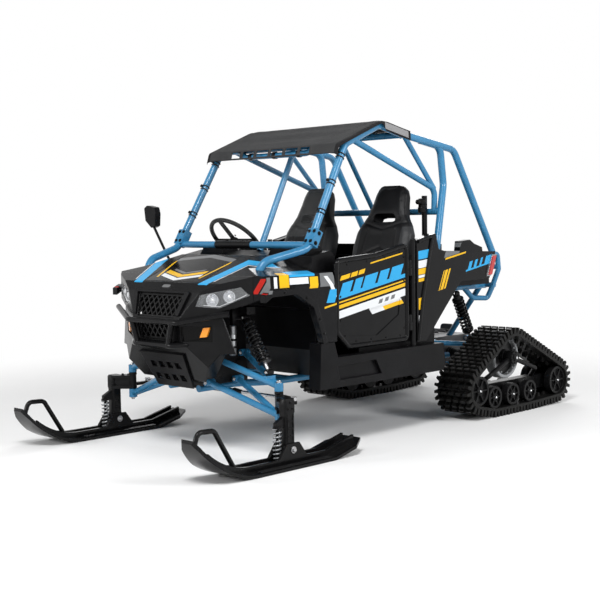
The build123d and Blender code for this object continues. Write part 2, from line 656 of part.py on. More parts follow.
belt = belt.fuse(*lugs)
nodes["track_belts"] = both(belt)

# Rollers, idlers, sprocket and carrier frame
wheel_out = TRACK_Y + TRACK_WIDTH / 2 - WHEEL_INSET
wheel_in = TRACK_Y - TRACK_WIDTH / 2 + WHEEL_INSET
ROAD_WHEELS = [(FRONT_IDLER_X, FRONT_IDLER_Z, IDLER_RADIUS), (REAR_IDLER_X, REAR_IDLER_Z, IDLER_RADIUS)]
ROAD_WHEELS += [(x, roller_z, ROLLER_RADIUS) for x in roller_x]
road_wheels = []
axles = []
for x, z, radius in ROAD_WHEELS:
    axle = cross(x, z, wheel_in, wheel_out, AXLE_RADIUS)
    outer = cross(x, z, wheel_out - WHEEL_WIDTH, wheel_out, radius - SEAT_GAP)
    web_y = wheel_out - DISH_DEEP
    dish = cross(x, z, web_y, wheel_out, radius - WHEEL_TYRE) - cross(x, z, web_y, wheel_out, WHEEL_HUB)
    outer -= dish
    rib_length = radius - WHEEL_TYRE - WHEEL_HUB + 4
    for index in range(WHEEL_RIBS):
        rib = Pos(WHEEL_HUB - 2 + rib_length / 2, 0, 0) * Box(rib_length, DISH_DEEP, WHEEL_RIB)
        outer += Pos(x, web_y + DISH_DEEP / 2 - 3, z) * Rot(0, index * 360 / WHEEL_RIBS, 0) * rib
    inner = cross(x, z, wheel_in, wheel_in + WHEEL_WIDTH, radius - SEAT_GAP)
    road_wheels += both(axle + outer + inner)
    axles.append(cross(x, z, wheel_in, wheel_out, AXLE_RADIUS + SEAT_GAP))
nodes["track_wheels"] = road_wheels
SPROCKET_HALF = 30
sprocket_y = TRACK_Y + 22
sprocket = cross(
    HUB_X, HUB_Z, sprocket_y - SPROCKET_HALF, sprocket_y + SPROCKET_HALF, SPROCKET_RADIUS - SEAT_GAP
)
for side in (-1, 1):
    sprocket -= cross(HUB_X, HUB_Z, sprocket_y + side * 8, sprocket_y + side * 40, SPROCKET_RADIUS - 24)
HUB_CAP_IN = sprocket_y + SPROCKET_HALF + 8
sprocket += cross(HUB_X, HUB_Z, hub_inner_y, HUB_CAP_IN, 48)
nodes["track_sprockets"] = both(sprocket)
BEAM_HALF = 36
frame = block(REAR_IDLER_X - 24, FRONT_IDLER_X + 24, TRACK_Y - BEAM_HALF, TRACK_Y + BEAM_HALF, 112, 198)
arm_y = wheel_out - 22
hub_point = (HUB_X, arm_y, HUB_Z)
frame += cross(HUB_X, HUB_Z, HUB_CAP_IN + SEAT_GAP, wheel_out + 10, 42)
for knee_x, foot_x in ((-815, -770), (-1325, -1392)):
    frame += bent([hub_point, (knee_x, arm_y, 262), (foot_x, TRACK_Y, 178)], 30, 30)
for axle in axles:
    frame -= axle
nodes["track_frames"] = both(frame)

# Rear guard loops: the cage's rear tubes stand on them
GUARD_TUBE = 34
guard_y = BED_HALF - 45
guard_z = BED_TOP_Z - 18
GUARD_LINE = [
    # x, y, z
    (BED_REAR_X - SEAT_GAP, guard_y, guard_z),
    (BED_REAR_X - 155, guard_y, guard_z),
    (BED_REAR_X - 168, guard_y, guard_z - 100),
    (BED_REAR_X - 116, guard_y - 15, TOP_RAIL_Z - 12),
    (BED_REAR_X - 98, guard_y - 40, TOP_RAIL_Z - 82),
    (BED_REAR_X + 34, guard_y - 62, TOP_RAIL_Z - 74),
    (BED_REAR_X + 108, TOP_RAIL_Y, TOP_RAIL_Z),
]
guard_loop = bent(GUARD_LINE, GUARD_TUBE, 24)
GUARD_BARS = [
    # x, z
    (BED_REAR_X - 166, guard_z - 84),
    (BED_REAR_X - 124, TOP_RAIL_Z + 4),
]

# Cage sides
foot_y = 547
SIDE_TUBE = [
    (985, 452, 900), (905, 478, 1032), (640, foot_y, PILLAR_FOOT_Z), (307, 517, 1668), (0, 505, 1790),
    (-225, 503, 1742), (-700, guard_y, 1668), (BED_REAR_X - 108, guard_y, guard_z),
]
REAR_PILLAR = [(-380, 502, 1715), (-578, 500, 1684), (-607, 502, 1450), (-462, 566, 1110), (-450, 566, 1040)]
DIAGONAL = [(238, 514, 1696), (-540, 486, 1425), (-534, 486, 1290)]
side_tube = bent(SIDE_TUBE, CAGE_DIAMETER, CAGE_BEND) - front_outer
side_tube += bent(REAR_PILLAR, CAGE_DIAMETER, 70)
side_tube += bent(DIAGONAL, CROSS_DIAMETER - 4, 60)
side_tube += bar((-225, 503, 1742), (-530, 488, 1428), 32)
BRACKET = (64, 95, 52)
pillar_low, pillar_high = Vector(640, 0, PILLAR_FOOT_Z), Vector(307, 0, 1668)
screen_up = (pillar_high - pillar_low).normalized()
screen_out = Vector(screen_up.Z, 0, -screen_up.X)
pillar_plane = Plane(origin=(640, foot_y, PILLAR_FOOT_Z), x_dir=(0, 1, 0), z_dir=screen_out)
side_tube += pillar_plane * Pos(0, 66, CAGE_DIAMETER / 2 - BRACKET[2] / 2 - 1) * Box(*BRACKET)
side_tube = side_tube - guard_loop
nodes["cage_sides"] = both(side_tube)

CROSS_BARS = [
    # x, z, half length
    (300, 1672, 517),
    (150, 1731, 512),
    (-225, 1742, 503),
    (-538, 1288, 532),
    (618, 1112, 546),
]
bars = []
for x, z, half in CROSS_BARS:
    bars.append(cross(x, z, -half, half, CROSS_DIAMETER / 2) - side_tube - flip(side_tube))
centre_post = bar((480, 0, DASH_TOP_Z + 23), (150, 0, 1731), 36) - bars[1]
centre_brace = bar((-225, 0, 1742), (-538, 0, 1288), 30) - bars[2] - bars[3]
nodes["cage_centre_posts"] = (centre_post - dash).solids() + centre_brace.solids()
LIGHT_RAIL = [(302, 345, 1668), (345, 255, 1628), (345, -255, 1628), (302, -345, 1668)]
bars[0] = bars[0] + bent(LIGHT_RAIL, 34, 50)
nodes["cage_cross_bars"] = [solid for piece in bars for solid in piece.solids()]

# Roof sheet with rear side flaps
ROOF_HALF = 545
ROOF_THICK = 10
ROOF_RAIL = [(374, 1606), (362, 1646), (307, 1668), (0, 1790), (-236, 1739.6)]


def lifted(points, lift):
    normals = []
    for (x, z), (next_x, next_z) in zip(points, points[1:]):
        reach = hypot(next_x - x, next_z - z)
        normals.append(Vector(next_z - z, x - next_x) / reach)
    raised = []
    for index, (x, z) in enumerate(points):
        before = normals[max(index - 1, 0)]
        after = normals[min(index, len(normals) - 1)]
        step = (before + after) * (lift / (1 + before.dot(after)))
        raised.append((x + step.X, z + step.Y))
    return raised


roof_low = CAGE_DIAMETER / 2 + SEAT_GAP
roof_outline = lifted(ROOF_RAIL, roof_low) + list(reversed(lifted(ROOF_RAIL, roof_low + ROOF_THICK)))
roof_face = make_face(Polyline(*roof_outline, close=True))
roof = Pos(0, ROOF_HALF, 0) * extrude(Plane.XZ * roof_face, amount=2 * ROOF_HALF)
flap_outline = [(0, 1828), (-232, 1776), (-226, 1716), (-20, 1758)]
flap = side_slab(flap_outline, ROOF_HALF - 8, ROOF_HALF)
nodes["roof_top"] = roof + flap + flip(flap) - side_tube - flip(side_tube)

# Windshield ahead of the pillars
screen_plane = Plane(
    origin=pillar_low + screen_out * (CAGE_DIAMETER / 2 + SEAT_GAP), x_dir=(0, 1, 0), z_dir=screen_out
)
SCREEN_LOW = 60
SCREEN_HIGH = 590
SCREEN_HALF = 545
screen = Pos(0, (SCREEN_LOW + SCREEN_HIGH) / 2) * Rectangle(2 * SCREEN_HALF, SCREEN_HIGH - SCREEN_LOW)
nodes["windshield"] = extrude(screen_plane * screen, amount=5)

# Rockers, door posts and rear quarter panels
ROCKER_LINE = [
    (BODY_REAR_X + 48, ROCKER_LOW_Z), (BODY_REAR_X + 34, ROCKER_TOE_Z), (DOOR_FRONT_X + 62, ROCKER_TOE_Z),
    (DOOR_FRONT_X + 35, ROCKER_TOP_Z), (-420, ROCKER_TOP_Z), (-440, ROCKER_LOW_Z + 30), (-410, ROCKER_LOW_Z),
]
rocker = side_slab(ROCKER_LINE, CABIN_HALF + SEAT_GAP, ROCKER_OUT)
step_recess = side_slab(
    [(520, ROCKER_TOP_Z - 50), (200, ROCKER_TOP_Z - 40), (150, ROCKER_LOW_Z + 40), (500, ROCKER_LOW_Z + 40)],
    ROCKER_OUT - 22, ROCKER_OUT + 10,
)
nodes["rockers"] = both(rocker - step_recess)
post_x = 2 * HINGE_X - DOOR_REAR_X
DOOR_POST_TOP_Z = 1125
door_post = post(post_x, DOOR_Y, ROCKER_TOP_Z + SEAT_GAP, DOOR_POST_TOP_Z, DOOR_TUBE / 2)
HINGE_ROWS = (640, 960)
HINGE_HIGH = 46
for row in HINGE_ROWS:
    door_post += post(HINGE_X, DOOR_Y, row - HINGE_HIGH, row, HINGE_RADIUS)
    door_post += post(HINGE_X, DOOR_Y, row - HINGE_HIGH, row + HINGE_HIGH, HINGE_PIN)
    door_post += block(post_x, HINGE_X, DOOR_Y - 9, DOOR_Y + 9, row - HINGE_HIGH, row)
nodes["door_posts"] = both(door_post)
QUARTER_LINE = [
    (-215, 1118), (-395, 1158), (-425, 1062), (-480, 1050), (BED_REAR_X, BED_TOP_Z + 4),
    (BED_REAR_X + 65, BED_TOP_Z - 162), (BED_REAR_X + 370, BED_TOP_Z - 172), (-480, 700), (-300, 520),
    (-215, 520),
]
quarter_out = max(BED_HALF, CABIN_HALF) + QUARTER_THICK
cabin_side = block(CABIN_REAR_X, 0, 0, BODY_REACH, 0, BODY_REACH)
bed_side = block(2 * BED_REAR_X, CABIN_REAR_X, 0, BODY_REACH, 0, BODY_REACH)
quarter = side_slab(QUARTER_LINE, CABIN_HALF + SEAT_GAP, quarter_out) & cabin_side
quarter += side_slab(QUARTER_LINE, BED_HALF + SEAT_GAP, quarter_out) & bed_side
quarter -= post(post_x, DOOR_Y, ROCKER_LOW_Z, DOOR_POST_TOP_Z, DOOR_TUBE / 2)
quarter -= side_tube
BOX_LINE = [
    (-635, BED_TOP_Z - 18), (-650, BED_TOP_Z + 76), (-745, BED_TOP_Z + 84), (-790, BED_TOP_Z + 58),
    (-872, BED_TOP_Z + 34), (-884, BED_TOP_Z - 18),
]
quarter += side_slab(BOX_LINE, BED_HALF + SEAT_GAP, quarter_out - 5)
nodes["rear_quarters"] = both(quarter)

# Doors: tube loop, skin and hinge barrels
DOOR_LINE = [
    (DOOR_FRONT_X, DOOR_TOP_FRONT_Z), (150, DOOR_TOP_FRONT_Z + 22), (DOOR_REAR_X, DOOR_TOP_REAR_Z),
    (DOOR_REAR_X, DOOR_LOW_Z), (390, DOOR_LOW_Z), (DOOR_FRONT_X, DOOR_LOW_Z + 85),
]
door_loop = bent([(x, DOOR_Y, z) for x, z in DOOR_LINE], DOOR_TUBE, 28, close=True)
for row in HINGE_ROWS:
    door_loop += post(HINGE_X, DOOR_Y, row + SEAT_GAP, row + HINGE_HIGH, HINGE_RADIUS)
    door_loop += block(HINGE_X, DOOR_REAR_X, DOOR_Y - 8, DOOR_Y + 8, row + SEAT_GAP, row + HINGE_HIGH)
    door_loop -= post(HINGE_X, DOOR_Y, row - 10, row + HINGE_HIGH + 10, HINGE_PIN + SEAT_GAP)
skin = offset(make_face(Polyline(*DOOR_LINE, close=True)), amount=-6, kind=Kind.INTERSECTION)
skin = Pos(0, DOOR_Y + DOOR_PANEL / 2, 0) * extrude(Plane.XZ * skin, amount=DOOR_PANEL)
RECESS_DEEP = 5
RECESS_LINE = [
    (DOOR_FRONT_X - 90, DOOR_LOW_Z + 60), (DOOR_FRONT_X - 330, DOOR_LOW_Z + 45),
    (DOOR_REAR_X + 75, DOOR_LOW_Z + 150), (DOOR_REAR_X + 60, DOOR_LOW_Z + 240),
    (DOOR_FRONT_X - 60, DOOR_LOW_Z + 165),
]
skin_out = DOOR_Y + DOOR_PANEL / 2
recess = side_slab(RECESS_LINE, skin_out - RECESS_DEEP, skin_out)
door_skin = skin - door_loop - recess
nodes["door_frame_left"] = door_loop
nodes["door_panel_left"] = door_skin
nodes["door_frame_right"] = flip(door_loop)
nodes["door_panel_right"] = flip(door_skin)

# Cargo bed, tail lamps and rear guard
bed_low_z = TOP_RAIL_Z + RAIL_DIAMETER / 2 + SEAT_GAP
bed_inner = BED_HALF - BED_WALL
bed = block(BED_REAR_X, BED_FRONT_X, -BED_HALF, BED_HALF, bed_low_z, BED_TOP_Z)
bed -= block(
    BED_REAR_X + BED_WALL, BED_FRONT_X - BED_WALL, -bed_inner, bed_inner, bed_low_z + BED_FLOOR, BED_TOP_Z
)
bed += block(BED_FRONT_X - BED_WALL, BED_FRONT_X, -BED_HALF, BED_HALF, BED_TOP_Z, BED_FRONT_TOP_Z)
nodes["cargo_bed"] = bed - side_tube - flip(side_tube)
TAIL_THICK = 17
TAIL_LINE = [
    (BED_REAR_X + 12, BED_TOP_Z - 22), (BED_REAR_X + 48, BED_TOP_Z - 24), (BED_REAR_X + 92, BED_TOP_Z - 142),
    (BED_REAR_X + 60, BED_TOP_Z - 140),
]
tail = side_slab(TAIL_LINE, quarter_out + SEAT_GAP, quarter_out + TAIL_THICK)
nodes["tail_lamps"] = both(tail)
rear_guard = guard_loop + flip(guard_loop)
for x, z in GUARD_BARS:
    rear_guard += cross(x, z, -guard_y, guard_y, GUARD_TUBE / 2)
nodes["rear_guard"] = rear_guard - top_rail - flip(top_rail)

# Seats
lean = radians(SEAT_LEAN)
back_base = Vector(-112, SEAT_Y, CUSHION_TOP_Z + 12)
back_plane = Plane(origin=back_base, x_dir=(0, 1, 0), z_dir=(cos(lean), 0, sin(lean)))
BACK_HALF = [(205, -160), (235, 300), (215, 410), (150, 480), (128, 630), (95, 690)]
back_outline = BACK_HALF + [(-y, z) for y, z in reversed(BACK_HALF)]
back = make_face(Polyline(*back_outline, close=True)) - Pos(0, 470) * Rectangle(150, 40)
seat_back = extrude(back_plane * back, amount=-105) - tub
nodes["seat_backs"] = both(seat_back)
CUSHION_LINE = [(330, 680), (335, 830), (290, 846), (-110, CUSHION_TOP_Z), (-120, 650)]
back_space = extrude(back_plane * Pos(0, 100) * Rectangle(600, 700), amount=-200)
back_space = Pos(SEAT_GAP, 0, 0) * back_space
cushion = side_slab(CUSHION_LINE, SEAT_Y - 225, SEAT_Y + 225) - tub - back_space
nodes["seat_cushions"] = both(cushion)

# Seat belt posts and mirror
BELT_POST = 34
belt_post_x = BED_FRONT_X + BELT_POST / 2 + SEAT_GAP
belt_post = post(belt_post_x, BED_HALF - 103, BED_FRONT_TOP_Z - 130, BED_FRONT_TOP_Z + 295, BELT_POST / 2)
nodes["belt_posts"] = both(belt_post)
MIRROR_STEM = 16
MIRROR_LINE = [(28, 1226), (62, 1214), (118, 1258), (128, 1334), (100, 1350), (34, 1338), (22, 1300)]
mirror_head = front_slab([(-BODY_HALF - y, z) for y, z in MIRROR_LINE], 690, 732)
mirror_head = fillet(mirror_head.edges().filter_by(Axis.X), 8)
mirror_stem = bar((650, 65 - BODY_HALF, 930), (712, -BODY_HALF - 65, 1225), MIRROR_STEM)
nodes["mirror"] = mirror_head + (mirror_stem - front_outer)

# Skis
leg_x = KINGPIN_X + LEG_AHEAD
leg_y = KINGPIN_Y + LEG_OUTBOARD
flat_front_x = SKI_TIP_X - SKI_CURL


def ski_rise(x):
    run = max(x - flat_front_x, 0)
    return SKI_TIP_RADIUS - sqrt(SKI_TIP_RADIUS**2 - run**2)


def ski_side(lift, thick, tail_x, tip_x):
    mid_x = flat_front_x + 0.55 * (tip_x - flat_front_x)
    mid = ski_rise(mid_x)
    rise = ski_rise(tip_x)
    tail_z = SKI_TAIL_Z * (SKI_FLAT_REAR_X - tail_x) / (SKI_FLAT_REAR_X - SKI_TAIL_X)
    low = Line((tail_x, tail_z + lift), (SKI_FLAT_REAR_X, lift))
    flat = Line((SKI_FLAT_REAR_X, lift), (flat_front_x, lift))
    curl = ThreePointArc((flat_front_x, lift), (mid_x, mid + lift), (tip_x, rise + lift))
    nose = Line((tip_x, rise + lift), (tip_x - 8, rise + lift + thick))
    back_curl = ThreePointArc(
        (tip_x - 8, rise + lift + thick), (mid_x - 6, mid + lift + thick), (flat_front_x, lift + thick)
    )
    deck = Line((flat_front_x, lift + thick), (SKI_FLAT_REAR_X, lift + thick))
    tail_top = Line((SKI_FLAT_REAR_X, lift + thick), (tail_x, tail_z + lift + thick))
    close = Line((tail_x, tail_z + lift + thick), (tail_x, tail_z + lift))
    return make_face([low, flat, curl, nose, back_curl, deck, tail_top, close])


def ski_slab(face, y_low, y_high):
    return Pos(0, y_high, 0) * extrude(Plane.XZ * face, amount=y_high - y_low)


half_ski = SKI_WIDTH / 2
plate = ski_slab(ski_side(0, SKI_PLATE, SKI_TAIL_X, SKI_TIP_X), leg_y - half_ski, leg_y + half_ski)
SKI_PLAN = [
    (SKI_TAIL_X, -60), (SKI_TAIL_X + 90, -half_ski), (SKI_TIP_X - 130, -half_ski), (SKI_TIP_X - 30, -70),
    (SKI_TIP_X + 8, -26),
]
plan = SKI_PLAN + [(x, -y) for x, y in reversed(SKI_PLAN)]
plate = plate & plan_slab([(x, leg_y + y) for x, y in plan], -10, 400)
rib_gap = LEG_WIDTH / 2 + SEAT_GAP
ski = plate
for side in (-1, 1):
    low_y = leg_y + side * (rib_gap + SKI_RIB_THICK / 2) - SKI_RIB_THICK / 2
    rib = ski_side(SKI_PLATE - 4, SKI_RIB_HEIGHT - SKI_PLATE + 4, SKI_TAIL_X + 40, SKI_TIP_X - 90)
    ski += ski_slab(rib, low_y, low_y + SKI_RIB_THICK)
    saddle = [(leg_x - 110, 30), (leg_x - 45, 118), (leg_x + 45, 118), (leg_x + 110, 30)]
    ski += side_slab(saddle, low_y, low_y + SKI_RIB_THICK)
SKI_BOLT_RADIUS = 12
pivot_z = LEG_BOTTOM_Z + 36
ski += cross(leg_x, pivot_z, leg_y - rib_gap - 2, leg_y + rib_gap + 2, SKI_BOLT_RADIUS)
LOOP_LINE = [
    (SKI_TIP_X - 44, leg_y, 176), (SKI_TIP_X - 72, leg_y, LOOP_TOP_Z),
    (SKI_TIP_X - 172, leg_y, LOOP_TOP_Z - 4), (SKI_TIP_X - 317, leg_y, SKI_PLATE - 2),
]
ski += bent(LOOP_LINE, LOOP_DIAMETER, 34)
leg_front_x = leg_x + LEG_LENGTH / 2
leg_rear_x = leg_x - LEG_LENGTH / 2
leg = block(leg_rear_x, leg_front_x, leg_y - LEG_WIDTH / 2, leg_y + LEG_WIDTH / 2, LEG_BOTTOM_Z, LEG_TOP_Z)
leg -= cross(leg_x, pivot_z, leg_y - LEG_WIDTH, leg_y + LEG_WIDTH, SKI_BOLT_RADIUS + SEAT_GAP)
SPRING_SEAT_Z = 208
leg += block(leg_front_x - 2, leg_front_x + 50, leg_y - 12, leg_y + 12, SPRING_SEAT_Z, SPRING_SEAT_Z + 38)
spring_x = leg_x + LEG_LENGTH / 2 + 35
spring_low_z = SKI_PLATE + ski_rise(spring_x + SKI_SPRING_RADIUS) + SEAT_GAP
SPRING_COILS = 7
spring_high = SPRING_SEAT_Z - SEAT_GAP - spring_low_z
coil = [(0, 0)]
for index in range(SPRING_COILS):
    coil.append((SKI_SPRING_RADIUS, (index + 0.15) * spring_high / SPRING_COILS))
    coil.append((SKI_SPRING_RADIUS, (index + 0.6) * spring_high / SPRING_COILS))
    coil.append((SKI_SPRING_RADIUS - 8, (index + 0.9) * spring_high / SPRING_COILS))
coil.append((0, spring_high))
spring = revolve(Plane.XZ * make_face(Polyline(*coil, close=True)), Axis.Z)
spring = Pos(spring_x, leg_y, spring_low_z) * spring

# Knuckle between the arm eyes, with steering arm
knuckle = post(KINGPIN_X, KINGPIN_Y, KNUCKLE_LOW_Z, KNUCKLE_HIGH_Z, KNUCKLE_LUG_RADIUS)
leg_face = leg_y - LEG_WIDTH / 2 + 2
KNUCKLE_WEB = [
    (KINGPIN_X - 20, KINGPIN_Y), (KINGPIN_X + 24, KINGPIN_Y), (leg_x + 45, leg_face), (leg_x - 60, leg_face),
]
knuckle += plan_slab(KNUCKLE_WEB, KNUCKLE_LOW_Z, LEG_TOP_Z)
STEER_ARM_LINE = [
    (KINGPIN_X, KINGPIN_Y - 14), (KINGPIN_X, KINGPIN_Y + 14), (rack_x, KINGPIN_Y + 12),
    (rack_x, KINGPIN_Y - 12),
]
knuckle += plan_slab(STEER_ARM_LINE, STEER_ARM_Z, STEER_ARM_Z + STEER_ARM_THICK)
knuckle += post(rack_x, KINGPIN_Y, STEER_ARM_Z, STEER_ARM_Z + STEER_ARM_THICK, ROD_END_RADIUS)
for name, piece in (("ski", ski), ("ski_spring", spring), ("ski_spindle", knuckle + leg)):
    nodes[name + "_left"] = piece
    nodes[name + "_right"] = flip(piece)

os.makedirs("parts", exist_ok=True)
for name, shape in nodes.items():
    solids = shape if isinstance(shape, list) else shape.solids()
    export_step(Compound(children=list(solids)), f"parts/{name}.step")
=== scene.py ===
import math

import bmesh
import bpy
from mathutils import Matrix, Vector, noise


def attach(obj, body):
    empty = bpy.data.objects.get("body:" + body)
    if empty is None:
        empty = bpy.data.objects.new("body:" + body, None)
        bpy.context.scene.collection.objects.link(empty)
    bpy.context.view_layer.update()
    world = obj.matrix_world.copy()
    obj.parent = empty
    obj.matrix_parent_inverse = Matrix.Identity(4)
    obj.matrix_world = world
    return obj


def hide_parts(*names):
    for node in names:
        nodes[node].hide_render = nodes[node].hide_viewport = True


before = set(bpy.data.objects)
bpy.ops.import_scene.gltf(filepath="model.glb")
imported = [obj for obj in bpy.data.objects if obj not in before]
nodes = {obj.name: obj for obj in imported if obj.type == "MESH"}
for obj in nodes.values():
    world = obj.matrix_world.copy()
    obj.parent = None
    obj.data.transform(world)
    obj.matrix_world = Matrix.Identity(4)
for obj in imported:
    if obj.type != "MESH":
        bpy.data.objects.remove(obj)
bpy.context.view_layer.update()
scene = bpy.context.scene

# Directions
AHEAD = (1, 0, 0)
LEFT = (0, 1, 0)
UP = (0, 0, 1)

# Node graph helpers
FACING_UP = 0.05
EDGE_SAMPLES = 4


class Graph:
    def __init__(self, name):
        self.material = bpy.data.materials.new(name)
        self.material.use_nodes = True
        self.tree = self.material.node_tree
        self.tree.nodes.clear()
        self.output = self.add("OutputMaterial")
        self.shader = self.add("BsdfPrincipled")
        self.join(self.shader.outputs["BSDF"], self.output.inputs["Surface"])
        self.coords = self.add("TexCoord").outputs["Object"]
        self.folded = self.fold_sides()

    def join(self, source, target):
        self.tree.links.new(source, target)

    def fill(self, node, inputs):
        """Joins each input to a socket, or gives it a plain value."""
        for key, value in inputs.items():
            if isinstance(value, bpy.types.NodeSocket):
                self.join(value, node.inputs[key])
            else:
                node.inputs[key].default_value = value

    def add(self, kind, inputs=None, **settings):
        """A shader node, by its type's name without the first part that all of them share."""
        made = self.tree.nodes.new("ShaderNode" + kind)
        for key, value in settings.items():
            setattr(made, key, value)
        self.fill(made, inputs or {})
        return made

    def split(self, vector):
        return self.add("SeparateXYZ", {0: vector}).outputs

    def fold_sides(self):
        """The coordinates with the right side laid over the left, for mirrored graphics."""
        parts = self.split(self.coords)
        inputs = {"X": parts["X"], "Y": self.math("ABSOLUTE", parts["Y"]), "Z": parts["Z"]}
        return self.add("CombineXYZ", inputs).outputs[0]

    def noise(self, scale, detail=5.0, rough=0.6):
        inputs = {"Vector": self.coords, "Scale": scale, "Detail": detail, "Roughness": rough}
        return self.add("TexNoise", inputs).outputs["Fac"]

    def waves(self, scale, direction):
        inputs = {"Vector": self.coords, "Scale": scale}
        made = self.add("TexWave", inputs, wave_type="BANDS", bands_direction=direction)
        return made.outputs["Fac"]

    def math(self, operation, *values):
        return self.add("Math", dict(enumerate(values)), operation=operation).outputs[0]

    def ramp(self, factor, stops):
        made = self.add("ValToRGB", {"Fac": factor})
        for element, (place, colour) in zip(made.color_ramp.elements, stops):
            element.position = place
            element.color = (*colour, 1.0)
        return made.outputs["Color"]

    def blend(self, factor, under, paint):
        inputs = {0: factor, 6: under, 7: (*paint, 1.0)}
        return self.add("Mix", inputs, data_type="RGBA").outputs[2]

    def between(self, factor, low, high):
        inputs = {"Value": factor, "To Min": low, "To Max": high}
        return self.add("MapRange", inputs).outputs["Result"]

    def along(self, direction):
        inputs = {0: self.folded, 1: direction}
        return self.add("VectorMath", inputs, operation="DOT_PRODUCT").outputs["Value"]

    def reach(self, axle):
        """The distance from an axle that runs across the machine at x, z."""
        parts = self.split(self.coords)
        x = self.math("SUBTRACT", parts["X"], axle[0])
        z = self.math("SUBTRACT", parts["Z"], axle[1])
        return self.math("SQRT", self.math("ADD", self.math("MULTIPLY", x, x), self.math("MULTIPLY", z, z)))

    def facing_up(self):
        normal = self.add("TexCoord").outputs["Normal"]
        return self.math("GREATER_THAN", self.split(normal)["Z"], FACING_UP)

    def mask(self, slabs):
        """One inside every slab, else zero; a slab is a direction or an axle, with its low and high value."""
        product = None
        for direction, low, high in slabs:
            value = self.reach(direction) if len(direction) == 2 else self.along(direction)
            inside = self.math("COMPARE", value, (low + high) / 2, (high - low) / 2)
            product = inside if product is None else self.math("MULTIPLY", product, inside)
        return product

    def bump(self, height, strength, distance, normal=None):
        inputs = {"Height": height, "Strength": strength, "Distance": distance}
        if normal is not None:
            inputs["Normal"] = normal
        return self.add("Bump", inputs).outputs["Normal"]

    def round_edges(self, radius):
        return self.add("Bevel", {"Radius": radius}, samples=EDGE_SAMPLES).outputs["Normal"]


DUST = (0.22, 0.21, 0.19)
FINE_GRAIN = (900.0, 0.10, 0.0004)
PATCH_LOW = 0.3
PATCH_HIGH = 0.7
WEAR_SCALE = 3.1
COAT_ROUGH = 0.08


def surface(
    name, dark, light, patch=7.0, rough=(0.4, 0.55), metallic=0.0, coat=0.0, specular=0.4, grain=FINE_GRAIN,
    edge=0.003, stripes=(), upward=False, dust=0.0, weave=0.0, alpha=None,
):
    """A painted, moulded, woven or cast surface: patchy colour, soft edges, grain and optional stripes."""
    graph = Graph(name)
    patches = graph.noise(patch)
    colour = graph.ramp(patches, [(PATCH_LOW, dark), (PATCH_HIGH, light)])
    for paint, slabs in stripes:
        inside = graph.mask(slabs)
        if upward:
            inside = graph.math("MULTIPLY", inside, graph.facing_up())
        colour = graph.blend(inside, colour, paint)
    if dust:
        speck = graph.math("MULTIPLY", graph.noise(38.0, 8.0, 0.7), dust)
        colour = graph.blend(speck, colour, DUST)
    normal = graph.round_edges(edge) if edge else None
    scale, strength, distance = grain
    height = graph.noise(scale, 3.0)
    if weave:
        threads = graph.math("ADD", graph.waves(weave, "X"), graph.waves(weave, "Y"))
        height = graph.math("ADD", height, threads)
    inputs = {
        "Base Color": colour,
        "Roughness": graph.between(graph.noise(patch * WEAR_SCALE), *rough),
        "Metallic": metallic,
        "Coat Weight": coat,
        "Coat Roughness": COAT_ROUGH,
        "Specular IOR Level": specular,
        "Normal": graph.bump(height, strength, distance, normal),
    }
    if alpha:
        inputs["Alpha"] = graph.between(patches, *alpha)
    graph.fill(graph.shader, inputs)
    return graph.material


# Stripes: slanted bands of flat paint, mirrored left to right
YELLOW = (0.80, 0.46, 0.014)
SKY = (0.032, 0.36, 0.70)
WHITE = (0.74, 0.76, 0.78)
GREY = (0.16, 0.165, 0.17)
RED = (0.42, 0.018, 0.012)
SIDE_SLOPE = 0.17
SIDE_CUT = 0.45


def side_band(paint, low, high, rear, front, slope=SIDE_SLOPE, cut=SIDE_CUT):
    """A band on a side panel that rises rearward, its ends cut on a slant; low and high hold at x = 0."""
    return paint, [((slope, 0, 1), low, high), ((1, 0, cut), rear + cut * low, front + cut * low)]


def top_band(paint, low, high, rear, front, slope=0.3, floor=0.0):
    """A band on the hood or a fender's top that runs outward as it goes rearward, above a floor height."""
    return paint, [((slope, 1, 0), low, high), (AHEAD, rear, front), (UP, floor, 2.0)]


def nose_band(paint, rear, front, low, high, slant=0.4):
    """An upright band on a fender's side, leaning by the slant, between two heights."""
    return paint, [((1, 0, slant), rear, front), (UP, low, high)]


def hood_band(paint, rear, front, half):
    """A band across the hood that is swept back from the middle, out to a half width."""
    return paint, [((1, 0.30, 0), rear, front), (LEFT, 0.0, half)]


def chevrons(paint, low, high, ends):
    return [side_band(paint, low, high, rear, front) for rear, front in ends]


DOOR_STRIPES = [
    *chevrons(YELLOW, 0.990, 1.014, [(0.350, 0.420), (0.290, 0.340), (0.235, 0.280)]),
    side_band(YELLOW, 1.030, 1.038, -0.075, 0.185),
    side_band(SKY, 0.890, 0.912, -0.105, 0.440),
    *chevrons(
        SKY, 0.912, 0.972, [(0.345, 0.425), (0.265, 0.325), (0.150, 0.250), (0.055, 0.130), (-0.06, 0.035)]
    ),
    side_band(YELLOW, 0.868, 0.876, -0.105, 0.440),
    side_band(YELLOW, 0.838, 0.858, -0.105, 0.440),
    side_band(WHITE, 0.784, 0.826, -0.105, 0.445),
    side_band(WHITE, 0.742, 0.784, -0.105, 0.210, cut=-0.9),
    side_band(YELLOW, 0.742, 0.766, -0.105, 0.085, cut=-0.9),
    *chevrons(GREY, 0.790, 0.812, [(0.095, 0.125), (0.045, 0.075), (-0.005, 0.025)]),
]
PANEL_REAR = ((1, 0, 0.237), -0.080, 0.300)
PANEL_FRONT = (AHEAD, -0.42, -0.23)
PANEL_DROP = 0.03


def panel_band(paint, low, high):
    return paint, [((0.10, 0, 1), low - PANEL_DROP, high - PANEL_DROP), PANEL_REAR, PANEL_FRONT]


